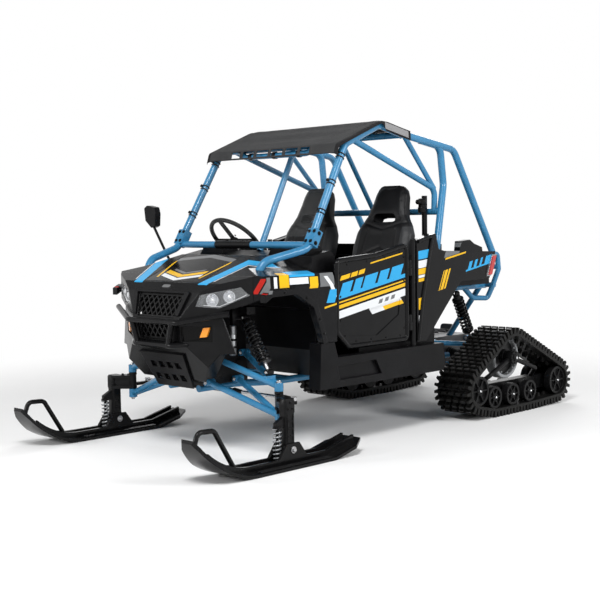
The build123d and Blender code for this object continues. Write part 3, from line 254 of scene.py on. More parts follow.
QUARTER_STRIPES = [
    panel_band(SKY, 1.012, 1.062),
    panel_band(WHITE, 0.960, 1.004),
    panel_band(YELLOW, 0.922, 0.956),
    panel_band(WHITE, 0.903, 0.918),
    panel_band(YELLOW, 0.880, 0.899),
    panel_band(YELLOW, 0.716, 0.784),
    panel_band(WHITE, 0.640, 0.682),
    side_band(GREY, 0.925, 0.985, -0.580, -0.440),
    side_band(YELLOW, 0.912, 0.922, -0.640, -0.450),
    *chevrons(YELLOW, 0.740, 0.850, [(-0.452, -0.436), (-0.428, -0.404), (-0.396, -0.388)]),
    side_band(SKY, 0.796, 0.806, -0.880, -0.640),
    *chevrons(SKY, 0.806, 0.850, [(-0.690, -0.660), (-0.740, -0.715), (-0.790, -0.770), (-0.880, -0.820)]),
]
HOOD_STRIPES = [
    top_band(YELLOW, 0.500, 0.516, 0.870, 1.100),
    hood_band(YELLOW, 1.066, 1.096, 0.165),
    hood_band(WHITE, 1.104, 1.132, 0.165),
    hood_band(GREY, 1.040, 1.056, 0.130),
    (GREY, [((1, -0.20, 0), 0.830, 0.865)]),
]
FENDER_STRIPES = [
    top_band(SKY, 0.664, 0.738, 0.760, 1.060, slope=0.37, floor=0.93),
    top_band(WHITE, 0.744, 0.752, 0.800, 1.060, slope=0.37, floor=0.93),
    nose_band(RED, 1.394, 1.414, 0.872, 0.950),
    nose_band(GREY, 1.362, 1.388, 0.872, 0.955),
    nose_band(WHITE, 1.312, 1.336, 0.898, 0.955),
    nose_band(YELLOW, 1.226, 1.296, 0.898, 0.972),
    nose_band(SKY, 1.030, 1.222, 0.950, 0.976),
    nose_band(WHITE, 1.080, 1.222, 0.912, 0.946),
    nose_band(YELLOW, 1.006, 1.070, 0.886, 0.946),
    nose_band(GREY, 0.880, 0.990, 0.890, 0.962),
    nose_band(WHITE, 0.080, 0.110, 0.830, 0.945, slant=-0.5),
    nose_band(SKY, 0.840, 0.905, 0.800, 0.872),
    side_band(YELLOW, 0.872, 0.882, 0.500, 0.600, cut=0.0),
]
# Painted shade: a near-black patch on each flat cheek of the fascia stands in for the shade inside the
# recessed pocket round the amber lamp.
POCKET_SHADE = (0.0015, 0.0015, 0.0015)
FASCIA_STRIPES = [
    (POCKET_SHADE, [(LEFT, 0.200, 0.362), (UP, 0.622, 0.702)]),
    top_band(SKY, 0.664, 0.738, 1.060, 1.160, slope=0.37, floor=0.90),
    top_band(WHITE, 0.744, 0.752, 1.060, 1.130, slope=0.37, floor=0.90),
]

# Materials
SOFT_GRAIN = (1400.0, 0.35, 0.0005)
blue_paint = surface(
    "blue_paint", (0.027, 0.180, 0.350), (0.037, 0.215, 0.410), rough=(0.20, 0.32), coat=0.25, specular=0.3,
    grain=(420.0, 0.05, 0.0003), edge=0.002, dust=0.03,
)
STEEL_DARK, STEEL_LIGHT = (0.0035, 0.0035, 0.004), (0.008, 0.008, 0.0085)
black_steel = surface("black_steel", STEEL_DARK, STEEL_LIGHT, rough=(0.22, 0.36), specular=0.14, dust=0.008)
charcoal = surface(
    "charcoal", (0.003, 0.003, 0.0035), (0.007, 0.007, 0.008), rough=(0.24, 0.38), specular=0.11,
    grain=SOFT_GRAIN, edge=0.005, dust=0.006,
)
fascia_black = surface(
    "fascia_black", (0.0035, 0.0035, 0.004), (0.007, 0.007, 0.0075), rough=(0.16, 0.27), specular=0.15,
    edge=0.007, stripes=FASCIA_STRIPES,
)
GLOSS_DARK, GLOSS_LIGHT = (0.0025, 0.0025, 0.003), (0.0055, 0.0055, 0.006)
gloss = {"rough": (0.06, 0.13), "specular": 0.17}
gloss_black = surface("gloss_black", GLOSS_DARK, GLOSS_LIGHT, edge=0.006, **gloss)
DOOR_OUTER = (LEFT, 0.599, 0.70)
outer_stripes = [(paint, slabs + [DOOR_OUTER]) for paint, slabs in DOOR_STRIPES]
door_black = surface("door_black", GLOSS_DARK, GLOSS_LIGHT, stripes=outer_stripes, **gloss)
quarter_black = surface("quarter_black", GLOSS_DARK, GLOSS_LIGHT, stripes=QUARTER_STRIPES, **gloss)
hood_black = surface("hood_black", GLOSS_DARK, GLOSS_LIGHT, stripes=HOOD_STRIPES, upward=True, **gloss)
fender_black = surface(
    "fender_black", GLOSS_DARK, (0.007, 0.007, 0.008), rough=(0.13, 0.22), specular=0.15, edge=0.006,
    stripes=FENDER_STRIPES,
)
rubber = surface(
    "rubber", (0.003, 0.003, 0.003), (0.007, 0.007, 0.007), patch=14.0, rough=(0.30, 0.48), specular=0.14,
    grain=(600.0, 0.4, 0.0008), dust=0.03,
)
alloy = surface(
    "alloy", (0.24, 0.25, 0.26), (0.38, 0.39, 0.40), rough=(0.32, 0.5), metallic=0.9,
    grain=(300.0, 0.25, 0.0006),
)
steel = surface("steel", (0.45, 0.45, 0.46), (0.62, 0.62, 0.63), rough=(0.2, 0.35), metallic=1.0)
chrome = surface("chrome", (0.66, 0.67, 0.69), (0.80, 0.81, 0.82), rough=(0.05, 0.12), metallic=1.0, edge=0.0)
cast_alloy = surface(
    "cast_alloy", (0.075, 0.076, 0.080), (0.135, 0.137, 0.14), rough=(0.42, 0.6), metallic=0.75,
    grain=(300.0, 0.3, 0.0008), dust=0.05,
)
SPROCKET_GREY = (0.20, 0.205, 0.21)
sprocket_paint = surface(
    "sprocket_paint", STEEL_DARK, STEEL_LIGHT, rough=(0.28, 0.42), specular=0.25,
    stripes=[(SPROCKET_GREY, [((-1.050, 0.356), 0.112, 0.150)])],
)
ski_black = surface(
    "ski_black", (0.0025, 0.0025, 0.003), (0.006, 0.006, 0.0065), rough=(0.15, 0.26), specular=0.17,
    grain=(500.0, 0.10, 0.0004), dust=0.012,
)
amber = surface("amber", (0.80, 0.24, 0.01), (0.92, 0.32, 0.015), rough=(0.12, 0.2), coat=0.6, edge=0.001)
red_lens = surface(
    "red_lens", (0.36, 0.008, 0.008), (0.50, 0.012, 0.012), rough=(0.1, 0.18), coat=0.7, edge=0.001
)
clear_lens = surface(
    "clear_lens", (0.80, 0.84, 0.88), (0.92, 0.95, 0.97), rough=(0.02, 0.06), edge=0.001, alpha=(0.10, 0.18)
)
clear_sheet = surface(
    "clear_sheet", (0.86, 0.92, 0.95), (0.95, 0.98, 1.0), rough=(0.03, 0.08), specular=0.1, edge=0.0,
    grain=(40.0, 0.02, 0.0001), alpha=(0.004, 0.014),
)
mirror_glass = surface(
    "mirror_glass", (0.55, 0.58, 0.60), (0.66, 0.68, 0.70), rough=(0.02, 0.05), metallic=1.0
)
FLAP_SLOPE = -0.2136
FLAP_SIDE = (LEFT, 0.5405, 0.60)
canvas = surface(
    "canvas", (0.030, 0.0305, 0.032), (0.044, 0.045, 0.046), patch=3.0, rough=(0.75, 0.9), specular=0.2,
    grain=(1600.0, 0.35, 0.0006), weave=190.0, edge=0.0,
    stripes=[
        ((0.012, 0.012, 0.013), [(LEFT, 0.520, 0.60)]),
        # Painted light: the rear side flaps are the same cloth as the roof, drawn a much lighter grey as if
        # lit more.
        ((0.27, 0.27, 0.275), [((FLAP_SLOPE, 0, 1), 1.768, 1.806), (AHEAD, -0.222, -0.012), FLAP_SIDE]),
    ],
)
VINYL_GREY = (0.030, 0.031, 0.033)
vinyl = surface(
    "vinyl", (0.004, 0.004, 0.0045), (0.008, 0.008, 0.009), patch=9.0, rough=(0.34, 0.48), specular=0.16,
    grain=(520.0, 0.35, 0.0007), edge=0.0,
    stripes=[
        (VINYL_GREY, [(LEFT, 0.468, 0.56), (UP, 0.70, 1.20)]),
        (VINYL_GREY, [(LEFT, 0.06, 0.152), (UP, 0.70, 1.20)]),
    ],
)

FINISHES = {
    blue_paint: (
        "cage_centre_posts cage_cross_bars cage_sides frame_rails frame_tubes front_arms rear_arms rear_guard"
    ),
    gloss_black: "belt_posts door_frame_left door_frame_right front_bumper",
    black_steel: (
        "door_posts front_bulkhead front_shocks grille rear_shocks ski_spindle_left ski_spindle_right"
        " ski_spring_left ski_spring_right steering_column track_frames track_wheels"
    ),
    charcoal: (
        "bash_plate cabin_tub cargo_bed cowl dashboard rockers mirror roof_top seat_backs seat_cushions"
    ),
    fascia_black: "front_fascia",
    fender_black: "front_fenders",
    door_black: "door_panel_left door_panel_right",
    quarter_black: "rear_quarters",
    hood_black: "hood",
    rubber: "steering_wheel track_belts",
    alloy: "rear_uprights steering_rack",
    cast_alloy: "engine_block rear_gearbox",
    steel: "half_shafts tie_rods",
    sprocket_paint: "track_sprockets",
    ski_black: "ski_left ski_right",
    amber: "marker_lamps",
    red_lens: "tail_lamps",
    clear_lens: "headlamps",
    clear_sheet: "windshield",
}
for material, names in FINISHES.items():
    for name in names.split():
        data = nodes[name].data
        data.materials.clear()
        data.materials.append(material)

# Piece helpers

def data_of(name, mesh):
    """Mesh data from a bmesh, which is freed."""
    data = bpy.data.meshes.new(name)
    mesh.to_mesh(data)
    mesh.free()
    return data


def object_of(name, data):
    """An object of a mesh, lamp or camera, linked into the scene."""
    made = bpy.data.objects.new(name, data)
    scene.collection.objects.link(made)
    return made


def dress(data, material):
    """Gives a mesh one material and smooth faces."""
    data.materials.clear()
    data.materials.append(material)
    for face in data.polygons:
        face.use_smooth = True


def put(name, mesh, material, body="chassis", smooth=35.0, replaces=()):
    """Makes a piece of a bmesh and hangs it on a body."""
    bmesh.ops.recalc_face_normals(mesh, faces=mesh.faces)
    data = data_of(name, mesh)
    dress(data, material)
    data.set_sharp_from_angle(angle=math.radians(smooth))
    piece = object_of(name, data)
    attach(piece, body)
    if replaces:
        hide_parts(*replaces)
    return piece


def meshes(count):
    return [bmesh.new() for index in range(count)]


def bridge(mesh, rings, close=False):
    """Joins rings of points one after the other, and caps both ends or closes the loop."""
    count = len(rings[0])
    pairs = list(zip(rings, rings[1:]))
    if close:
        pairs.append((rings[-1], rings[0]))
    for low, high in pairs:
        for index in range(count):
            after = (index + 1) % count
            mesh.faces.new((low[index], low[after], high[after], high[index]))
    if not close:
        mesh.faces.new(list(reversed(rings[0])))
        mesh.faces.new(rings[-1])


def cross_axes(axis):
    """A unit axis and two directions across it."""
    axis = Vector(axis).normalized()
    side = axis.orthogonal().normalized()
    return axis, side, axis.cross(side)


def circle(centre, side, up, radius, turns):
    """Points set evenly on a circle in the plane of two directions."""
    points = []
    for index in range(turns):
        angle = 2 * math.pi * index / turns
        points.append(centre + (side * math.cos(angle) + up * math.sin(angle)) * radius)
    return points


def ring_of(mesh, *shape):
    return [mesh.verts.new(point) for point in circle(*shape)]


def lathe(mesh, start, axis, profile, turns=20):
    """A turned form; the profile's rows are distance along the axis and radius."""
    axis, side, up = cross_axes(axis)
    start = Vector(start)
    bridge(mesh, [ring_of(mesh, start + axis * reach, side, up, radius, turns) for reach, radius in profile])


def tube(mesh, points, radius, turns=10, close=False):
    points = [Vector(point) for point in points]
    count = len(points)
    rings = []
    side = None
    for index, point in enumerate(points):
        before = points[index - 1] if close or index else point
        after = points[(index + 1) % count] if close or index < count - 1 else point
        run = (after - before).normalized()
        side = run.orthogonal() if side is None else side - run * side.dot(run)
        side.normalize()
        rings.append(ring_of(mesh, point, side, run.cross(side), radius, turns))
    bridge(mesh, rings, close)


def slab(mesh, outline, place, across, up, thick):
    """An outline in a plane, given thickness along across x up."""
    place, across, up = Vector(place), Vector(across), Vector(up)
    out = across.cross(up).normalized() * thick
    low = [mesh.verts.new(place + across * a + up * b) for a, b in outline]
    high = [mesh.verts.new(vertex.co + out) for vertex in low]
    bridge(mesh, [low, high])


def brick(mesh, low, high):
    """A box between two corners, whose y may come in either order."""
    right, left = sorted((low[1], high[1]))
    outline = [(low[0], right), (high[0], right), (high[0], left), (low[0], left)]
    slab(mesh, outline, (0, 0, low[2]), AHEAD, LEFT, high[2] - low[2])


def bolt(mesh, place, axis, radius):
    lathe(mesh, place, axis, [(0.0, radius * 1.5), (radius * 0.3, radius * 1.5)], 14)
    lathe(mesh, place, axis, [(radius * 0.3, radius), (radius, radius), (radius * 1.15, radius * 0.8)], 6)


def bolt_ring(mesh, centre, axis, ring, count, radius):
    axis, side, up = cross_axes(axis)
    for spot in circle(Vector(centre), side, up, ring, count):
        bolt(mesh, spot, axis, radius)


WELD_TURNS = 20
WELD_BEAD = 0.0035


def weld(mesh, centre, axis, radius):
    axis, side, up = cross_axes(axis)
    tube(mesh, circle(Vector(centre), side, up, radius, WELD_TURNS), WELD_BEAD, 6, close=True)


SLEEVE_ROLL = 0.003
SLEEVE_THICK = 0.004


def sleeve(mesh, centre, axis, radius, length):
    """A clamp band round a tube, with rolled ends."""
    axis = Vector(axis).normalized()
    start = Vector(centre) - axis * length / 2
    outer = radius + SLEEVE_THICK
    profile = [(0.0, radius), (SLEEVE_ROLL, outer), (length - SLEEVE_ROLL, outer), (length, radius)]
    lathe(mesh, start, axis, profile, 24)


SIDES = ((1, "left"), (-1, "right"))
BOTH = (1, -1)


def on_side(side, point):
    return Vector((point[0], side * point[1], point[2]))


def coil(mesh, low, high, radius, wire, turns, steps=18):
    low, high = Vector(low), Vector(high)
    axis, side, up = cross_axes(high - low)
    points = []
    for index in range(turns * steps + 1):
        angle = 2 * math.pi * index / steps
        spot = low.lerp(high, index / (turns * steps))
        points.append(spot + (side * math.cos(angle) + up * math.sin(angle)) * radius)
    tube(mesh, points, wire, 8)


def smooth_step(value, low, high):
    share = min(max((value - low) / (high - low), 0.0), 1.0)
    return share * share * (3 - 2 * share)


def hill(value, centre, width):
    return math.exp(-(((value - centre) / width) ** 2))


# Shocks: turned bodies, helical springs, reservoirs and ski dampers
SHOCK_COIL = 0.031
SHOCK_WIRE = 0.0075
SHOCK_TURNS = 9
SHOCK_EYE = 0.0175
SHOCK_ROD = 0.009
SPRING_FOOT = 0.20
SPRING_HEAD = 0.86
EYE_BARREL = [(-0.022, 0.015), (-0.019, SHOCK_EYE), (0.019, SHOCK_EYE), (0.022, 0.015)]
EYE_BOLT = [(-0.027, 0.007), (-0.023, 0.009), (0.023, 0.009), (0.027, 0.007)]
SHOCKS = {
    # name: lower eye, upper eye
    "front": ((0.942, 0.540, 0.4559), (0.942, 0.365, 0.735)),
    "rear": ((-1.014, 0.405, 0.4633), (-0.824, 0.430, 0.7667)),
}


def shock_pieces(kind, low_eye, high_eye):
    bodies, springs, rods = meshes(3)
    for side in BOTH:
        low, high = on_side(side, low_eye), on_side(side, high_eye)
        axis = (high - low).normalized()
        length = (high - low).length
        foot, head = SPRING_FOOT * length, SPRING_HEAD * length
        middle = 0.5 * length
        body = [(middle, 0.016), (middle + 0.003, 0.022), (head - 0.004, 0.022), (head, 0.037)]
        body += [(head + 0.007, 0.038), (head + 0.010, 0.024)]
        body += [(length - 0.012, 0.022), (length - 0.008, 0.014)]
        lathe(bodies, low, axis, body)
        seat = [(foot - 0.010, 0.014), (foot - 0.009, 0.036), (foot - 0.002, 0.038), (foot, 0.026)]
        lathe(bodies, low, axis, seat + [(foot + 0.012, 0.018)])
        lathe(rods, low, axis, [(0.012, SHOCK_ROD), (middle + 0.01, SHOCK_ROD)])
        for eye in (low, high):
            lathe(bodies, eye, AHEAD, EYE_BARREL)
            lathe(rods, eye, AHEAD, EYE_BOLT, 6)
        coil(springs, low + axis * foot, low + axis * head, SHOCK_COIL, SHOCK_WIRE, SHOCK_TURNS)
    put(f"{kind}_shock_bodies", bodies, black_steel, replaces=(f"{kind}_shocks",))
    put(f"{kind}_shock_springs", springs, gloss_black)
    put(f"{kind}_shock_rods", rods, steel)


for kind, (low_eye, high_eye) in SHOCKS.items():
    shock_pieces(kind, low_eye, high_eye)

CAN = Vector((1.008, 0.333, 0.535))
CAN_TALL = 0.162
CAN_WIDE = 0.021
CAN_PROFILE = [
    # height, radius
    (0.0, CAN_WIDE * 0.7),
    (0.006, CAN_WIDE),
    (0.108, CAN_WIDE),
    (0.112, CAN_WIDE * 0.9),
    (0.118, CAN_WIDE),
    (CAN_TALL - 0.006, CAN_WIDE),
    (CAN_TALL, CAN_WIDE * 0.6),
]
STRAP_HEIGHTS = (0.045, 0.085)
STRAP_WIDE = 0.012
HOSE_LINE = [(1.008, 0.333, 0.695), (1.006, 0.335, 0.712), (0.990, 0.345, 0.730), (0.966, 0.362, 0.729)]
HOSE_RADIUS = 0.006
HANGER_HALF = 0.011


def reservoirs():
    cans, straps = meshes(2)
    for side in BOTH:
        foot = on_side(side, CAN)
        lathe(cans, foot, UP, CAN_PROFILE, 24)
        for height in STRAP_HEIGHTS:
            sleeve(straps, foot + Vector((0, 0, height)), UP, CAN_WIDE, STRAP_WIDE)
        tube(straps, [on_side(side, point) for point in HOSE_LINE], HOSE_RADIUS)
        brick(straps, (0.9725, foot.y - HANGER_HALF, 0.676), (1.014, foot.y + HANGER_HALF, 0.786))
    put("front_reservoirs", cans, alloy)
    put("front_reservoir_straps", straps, black_steel)


reservoirs()

DAMPER_LOW = (1.075, 0.73, 0.0165)
DAMPER_HIGH = (1.075, 0.73, 0.2075)
DAMPER_COIL = 0.0190
DAMPER_WIRE = 0.0048
DAMPER_TURNS = 8
DAMPER_CUP = [(0.0, 0.018), (0.001, 0.024), (0.010, 0.024)]


def ski_damper(side, name):
    damper, spring = meshes(2)
    low, high = on_side(side, DAMPER_LOW), on_side(side, DAMPER_HIGH)
    foot, head = low + Vector((0, 0, 0.012)), high - Vector((0, 0, 0.010))
    coil(spring, foot, head, DAMPER_COIL, DAMPER_WIRE, DAMPER_TURNS)
    put(f"ski_coil_{name}", spring, alloy, f"ski_{name}")
    lathe(damper, low, UP, DAMPER_CUP + [(0.013, 0.012), (0.11, 0.011)])
    lathe(damper, high, (0, 0, -1), DAMPER_CUP + [(0.013, 0.008), (0.1, 0.007)])
    put(f"ski_damper_{name}", damper, black_steel, f"ski_{name}", replaces=(f"ski_spring_{name}",))


for side, name in SIDES:
    ski_damper(side, name)

# Roof canvas: one stretched sheet over the cage, its rear sides hanging as flaps
ROOF_RAIL = [
    # x, z, rounding
    (0.374, 1.606, 0.0),
    (0.362, 1.646, 0.014),
    (0.307, 1.668, 0.024),
    (0.000, 1.790, 0.050),
    (-0.236, 1.7396, 0.0),
]
ROOF_LIFT = 0.0265
ROOF_HALF = 0.541
FLAP_DROP = 0.060
HEM_DROP = 0.016
ROOF_THICK = 0.003
ROOF_SAG = 0.0045
ROOF_PULL = 0.0016
ROOF_FOLD = 0.0011
ROOF_STEPS = 72
ROOF_COLUMNS = 45
CORNER_STEPS = 8
EDGE_STEPS = 5
EDGE_BULGE = 0.003
EDGE_FALL = 0.006
EDGE_SHARE = 0.94
OPENING_ROWS = range(1, 5)
OPENING_HALF = 13
STRAP_STEP = 5


def roof_path():
    """The rail line lifted by the tube's radius, its corners rounded."""
    points = [Vector((x, 0, z)) for x, z, reach in ROOF_RAIL]
    last = len(points) - 1
    raised = []
    for index, point in enumerate(points):
        enter = (points[max(index, 1)] - points[max(index, 1) - 1]).normalized()
        leave = (points[min(index, last - 1) + 1] - points[min(index, last - 1)]).normalized()
        out_enter, out_leave = Vector((enter.z, 0, -enter.x)), Vector((leave.z, 0, -leave.x))
        raised.append(point + (out_enter + out_leave) * (ROOF_LIFT / (1 + out_enter.dot(out_leave))))
    path = [raised[0]]
    for index in range(1, last):
        reach = ROOF_RAIL[index][2]
        corner = raised[index]
        start = corner + (raised[index - 1] - corner).normalized() * reach
        end = corner + (raised[index + 1] - corner).normalized() * reach
        for step in range(CORNER_STEPS + 1):
            share = step / CORNER_STEPS
            path.append(start.lerp(corner, share).lerp(corner.lerp(end, share), share))
    return path + [raised[-1]]


def evenly(path, count):
    """Points set evenly along a path from end to end, and the path's length."""
    lengths = [0.0]
    for first, second in zip(path, path[1:]):
        lengths.append(lengths[-1] + (second - first).length)
    spots = []
    cursor = 0
    for index in range(count + 1):
        wanted = lengths[-1] * index / count
        while cursor < len(path) - 2 and lengths[cursor + 1] < wanted:
            cursor += 1
        share = (wanted - lengths[cursor]) / (lengths[cursor + 1] - lengths[cursor])
        spots.append(path[cursor].lerp(path[cursor + 1], share))
    return spots, lengths[-1]


def canopy_row(spot):
    """One row of the sheet across the roof, with both hanging edges."""
    drop = HEM_DROP + (FLAP_DROP - HEM_DROP) * (1 - smooth_step(spot.x, -0.03, 0.015))
    edge = []
    for step in range(1, EDGE_STEPS + 1):
        share = step / EDGE_STEPS
        y = ROOF_HALF + EDGE_BULGE * math.sin(share * math.pi / 2)
        edge.append(Vector((spot.x, y, spot.z - drop * share)))
    row = [on_side(-1, point) for point in reversed(edge)]
    for index in range(ROOF_COLUMNS + 1):
        share = 2 * index / ROOF_COLUMNS - 1
        y = share * ROOF_HALF
        slack = math.sin(math.pi * (spot.x - 0.15) / 0.15) ** 2 if 0 <= spot.x <= 0.3 else 0.15
        fall = EDGE_FALL * max(abs(share) - EDGE_SHARE, 0.0) / (1 - EDGE_SHARE)
        sag = ROOF_SAG * slack * (1 - share**2) + fall
        pull = ROOF_PULL * noise.noise(Vector((spot.x * 5.0, y * 3.2, 0.7)))
        fold = ROOF_FOLD * math.sin((spot.x * 0.75 + abs(y) * 0.9) * 46.0) * hill(abs(share), 0.86, 0.12)
        row.append(Vector((spot.x, y, spot.z - sag + pull + fold)))
    return row + edge


def in_opening(row, column):
    """True where the front lip is open over the lamp rail, between the straps."""
    away = abs(column - EDGE_STEPS - ROOF_COLUMNS // 2)
    return row in OPENING_ROWS and away <= OPENING_HALF and away % STRAP_STEP != 0


def canopy():
    spots, length = evenly(roof_path(), ROOF_STEPS)
    mesh = bmesh.new()
    rows = [[mesh.verts.new(point) for point in canopy_row(spot)] for spot in spots]
    for row, (low, high) in enumerate(zip(rows, rows[1:])):
        for index in range(len(low) - 1):
            if not in_opening(row, index):
                mesh.faces.new((low[index], low[index + 1], high[index + 1], high[index]))
    loose = [vertex for vertex in mesh.verts if not vertex.link_faces]
    bmesh.ops.delete(mesh, geom=loose, context="VERTS")
    area = sum(face.calc_area() for face in mesh.faces)
    piece = put("roof_canvas", mesh, canvas, smooth=60.0, replaces=("roof_top",))
    thick = piece.modifiers.new("thick", "SOLIDIFY")
    thick.thickness = ROOF_THICK
    thick.offset = 0.0


canopy()

# Seats: crowned, bolstered pads
SEAT_Y = 0.31
LEAN = math.radians(19)
BACK_AT = Vector((-0.112, 0.0, 0.812))
BACK_UP = Vector((-math.sin(LEAN), 0, math.cos(LEAN)))
BACK_OUT = Vector((math.cos(LEAN), 0, math.sin(LEAN)))
BACK_ROWS = [
    # height, half width, thickness
    (-0.150, 0.196, 0.082),
    (-0.120, 0.206, 0.096),
    (0.000, 0.216, 0.100),
    (0.150, 0.226, 0.098),
    (0.290, 0.231, 0.094),
    (0.380, 0.222, 0.090),
    (0.440, 0.194, 0.086),
    (0.490, 0.158, 0.082),
    (0.560, 0.139, 0.080),
    (0.630, 0.124, 0.076),
    (0.672, 0.104, 0.066),
    (0.685, 0.086, 0.050),
]
CUSHION_ROWS = [
    # x, half width, top z, bottom z
    (-0.098, 0.198, 0.782, 0.672),
    (-0.080, 0.212, 0.798, 0.666),
    (0.020, 0.218, 0.808, 0.674),
    (0.140, 0.220, 0.822, 0.684),
    (0.230, 0.220, 0.834, 0.694),
    (0.290, 0.216, 0.838, 0.696),
    (0.318, 0.206, 0.826, 0.700),
    (0.330, 0.190, 0.800, 0.716),
]
SLOT_AT = 0.470
SLOT_HALF = 0.082
SLOT_TALL = 0.048
BACK_STEPS = 44
BACK_ROUND = 4.2
BACK_INSET = 0.006
BACK_BOLSTER = 0.006
BACK_DISH = 0.016
NECK_DIP = 0.012
CUSHION_STEPS = 36
CUSHION_ROUND = 4.5
CUSHION_BOLSTER = 0.004
CUSHION_DISH = 0.014
VOXEL = 0.007
PRESSURE = 4.0
CLOTH_FRAMES = 20
SOFT_CAP = 0.008
SEAM_DEEP = 0.0035
SEAM_WIDE = 0.008
PIPING_DEEP = 0.004
PIPING_WIDE = 0.026
BACK_SEAMS = (0.09, 0.29)
CUSHION_SEAMS = (0.03, 0.16, 0.27)
HEAD_SEAM = 0.40
CENTRE_SHARE = 0.60


def row_at(rows, value):
    """The rows' later columns at a place between two rows."""
    value = min(max(value, rows[0][0]), rows[-1][0])
    for low, high in zip(rows, rows[1:]):
        if value <= high[0]:
            share = (value - low[0]) / (high[0] - low[0])
            return [a + (b - a) * share for a, b in zip(low[1:], high[1:])]


def rounded_loop(half, tall, power, count=56):
    """A rounded rectangle about its centre, as side and height."""
    loop = []
    for index in range(count):
        angle = 2 * math.pi * index / count
        c, s = math.cos(angle), math.sin(angle)
        side = half * math.copysign(abs(c) ** (2 / power), c)
        loop.append((side, tall / 2 * math.copysign(abs(s) ** (2 / power), s)))
    return loop


def back_loop(height):
    half, thick = row_at(BACK_ROWS, height)
    loop = []
    for side, depth in rounded_loop(half, thick, BACK_ROUND):
        share = abs(side) / half
        front = depth - thick / 2 - BACK_INSET
        if depth > 0:
            low_part = 1 - smooth_step(height, 0.36, 0.46)
            front += low_part * (BACK_BOLSTER * hill(share, 0.80, 0.16) - BACK_DISH * hill(share, 0.0, 0.52))
            front -= NECK_DIP * hill(height, 0.455, 0.035) * (1 - share**2)
        loop.append(BACK_AT + BACK_UP * height + BACK_OUT * front + Vector((0, side, 0)))
    return loop


def cushion_loop(x):
    half, top, bottom = row_at(CUSHION_ROWS, x)
    loop = []
    for side, height in rounded_loop(half, top - bottom, CUSHION_ROUND):
        share = abs(side) / half
        z = (top + bottom) / 2 + height
        if height > 0:
            z += CUSHION_BOLSTER * hill(share, 0.82, 0.14) - CUSHION_DISH * hill(share, 0.0, 0.55)
        loop.append((x, side, z))
    return loop


def crowned(rows, steps, loop_at):
    """A closed form through loops of points, set evenly from the first row to the last."""
    mesh = bmesh.new()
    first, last = rows[0][0], rows[-1][0]
    rings = []
    for index in range(steps + 1):
        rings.append([mesh.verts.new(point) for point in loop_at(first + (last - first) * index / steps)])
    bridge(mesh, rings)
    return mesh


def evaluated(holder):
    """The holder's mesh with its modifiers applied; the holder is removed."""
    graph = bpy.context.evaluated_depsgraph_get()
    made = bpy.data.meshes.new_from_object(holder.evaluated_get(graph))
    bpy.data.objects.remove(holder)
    return made


def holder_of(name, mesh):
    if not isinstance(mesh, bpy.types.Mesh):
        bmesh.ops.recalc_face_normals(mesh, faces=mesh.faces)
        mesh = data_of(name, mesh)
    return object_of(name, mesh)


def inflate(mesh):
    """Cloth under pressure from a fine remesh of the form, each point's move capped."""
    holder = holder_of("soft_base", mesh)
    remesh = holder.modifiers.new("remesh", "REMESH")
    remesh.mode = "VOXEL"
    remesh.voxel_size = VOXEL
    fine = evaluated(holder)
    start = [vertex.co.copy() for vertex in fine.vertices]
    soft = holder_of("soft_run", fine)
    cloth = soft.modifiers.new("cloth", "CLOTH")
    cloth.settings.use_pressure = True
    cloth.settings.uniform_pressure_force = PRESSURE
    cloth.settings.quality = 4
    cloth.settings.effector_weights.gravity = 0.0
    for step in range(1, CLOTH_FRAMES + 1):
        scene.frame_set(step)
    blown = evaluated(soft)
    scene.frame_set(1)
    for vertex, rest in zip(blown.vertices, start):
        move = vertex.co - rest
        vertex.co = rest + move * min(1.0, SOFT_CAP / max(move.length, SOFT_CAP / 100))
    return blown


def cut_slot(data):
    """The window under the headrest, cut through the back."""
    cutter = bmesh.new()
    rings = []
    for depth in (-0.2, 0.1):
        centre = BACK_AT + BACK_UP * SLOT_AT + BACK_OUT * depth
        ring = []
        for side, height in rounded_loop(SLOT_HALF, SLOT_TALL, 5.0, 32):
            taper = 1.0 - 3.0 * height
            ring.append(cutter.verts.new(centre + BACK_UP * height + Vector((0, side * taper, 0))))
        rings.append(ring)
    bridge(cutter, rings)
    knife = holder_of("slot_cut", cutter)
    holder = holder_of("slot_body", data)
    boolean = holder.modifiers.new("slot", "BOOLEAN")
    boolean.operation = "DIFFERENCE"
    boolean.object = knife
    made = evaluated(holder)
    bpy.data.objects.remove(knife)
    return made


def back_groove(place, normal):
    height = (place - BACK_AT).dot(BACK_UP)
    share = abs(place.y) / row_at(BACK_ROWS, height)[0]
    deep = SEAM_DEEP * hill(height, HEAD_SEAM + 0.05 * share, SEAM_WIDE)
    if height < HEAD_SEAM:
        edge = CENTRE_SHARE - 0.10 * smooth_step(height, 0.05, HEAD_SEAM)
        deep += PIPING_DEEP * hill(share, edge, PIPING_WIDE)
        if share < edge:
            for seam in BACK_SEAMS:
                deep += SEAM_DEEP * hill(height + 0.10 * share, seam, SEAM_WIDE)
    return deep * max(normal.dot(BACK_OUT), 0.0)


def cushion_groove(place, normal):
    share = abs(place.y) / CUSHION_ROWS[3][1]
    deep = PIPING_DEEP * hill(share, CENTRE_SHARE, PIPING_WIDE)
    if share < CENTRE_SHARE:
        for seam in CUSHION_SEAMS:
            deep += SEAM_DEEP * hill(place.x + 0.05 * share, seam, SEAM_WIDE)
    return deep * max(normal.z, 0.0)


def soft_piece(name, data, groove, side, node):
    """A copy of the soft form on one side, its sewn lines pressed in."""
    made = data.copy()
    made.name = name
    depths = [groove(vertex.co, vertex.normal) for vertex in made.vertices]
    moves = [-vertex.normal * deep for vertex, deep in zip(made.vertices, depths)]
    for vertex, move in zip(made.vertices, moves):
        vertex.co += move
        vertex.co.y += side * SEAT_Y
    dress(made, vinyl)
    piece = object_of(name, made)
    finer = piece.modifiers.new("finer", "SUBSURF")
    finer.levels = 1
    finer.render_levels = 1
    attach(piece, "chassis")
    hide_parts(node)


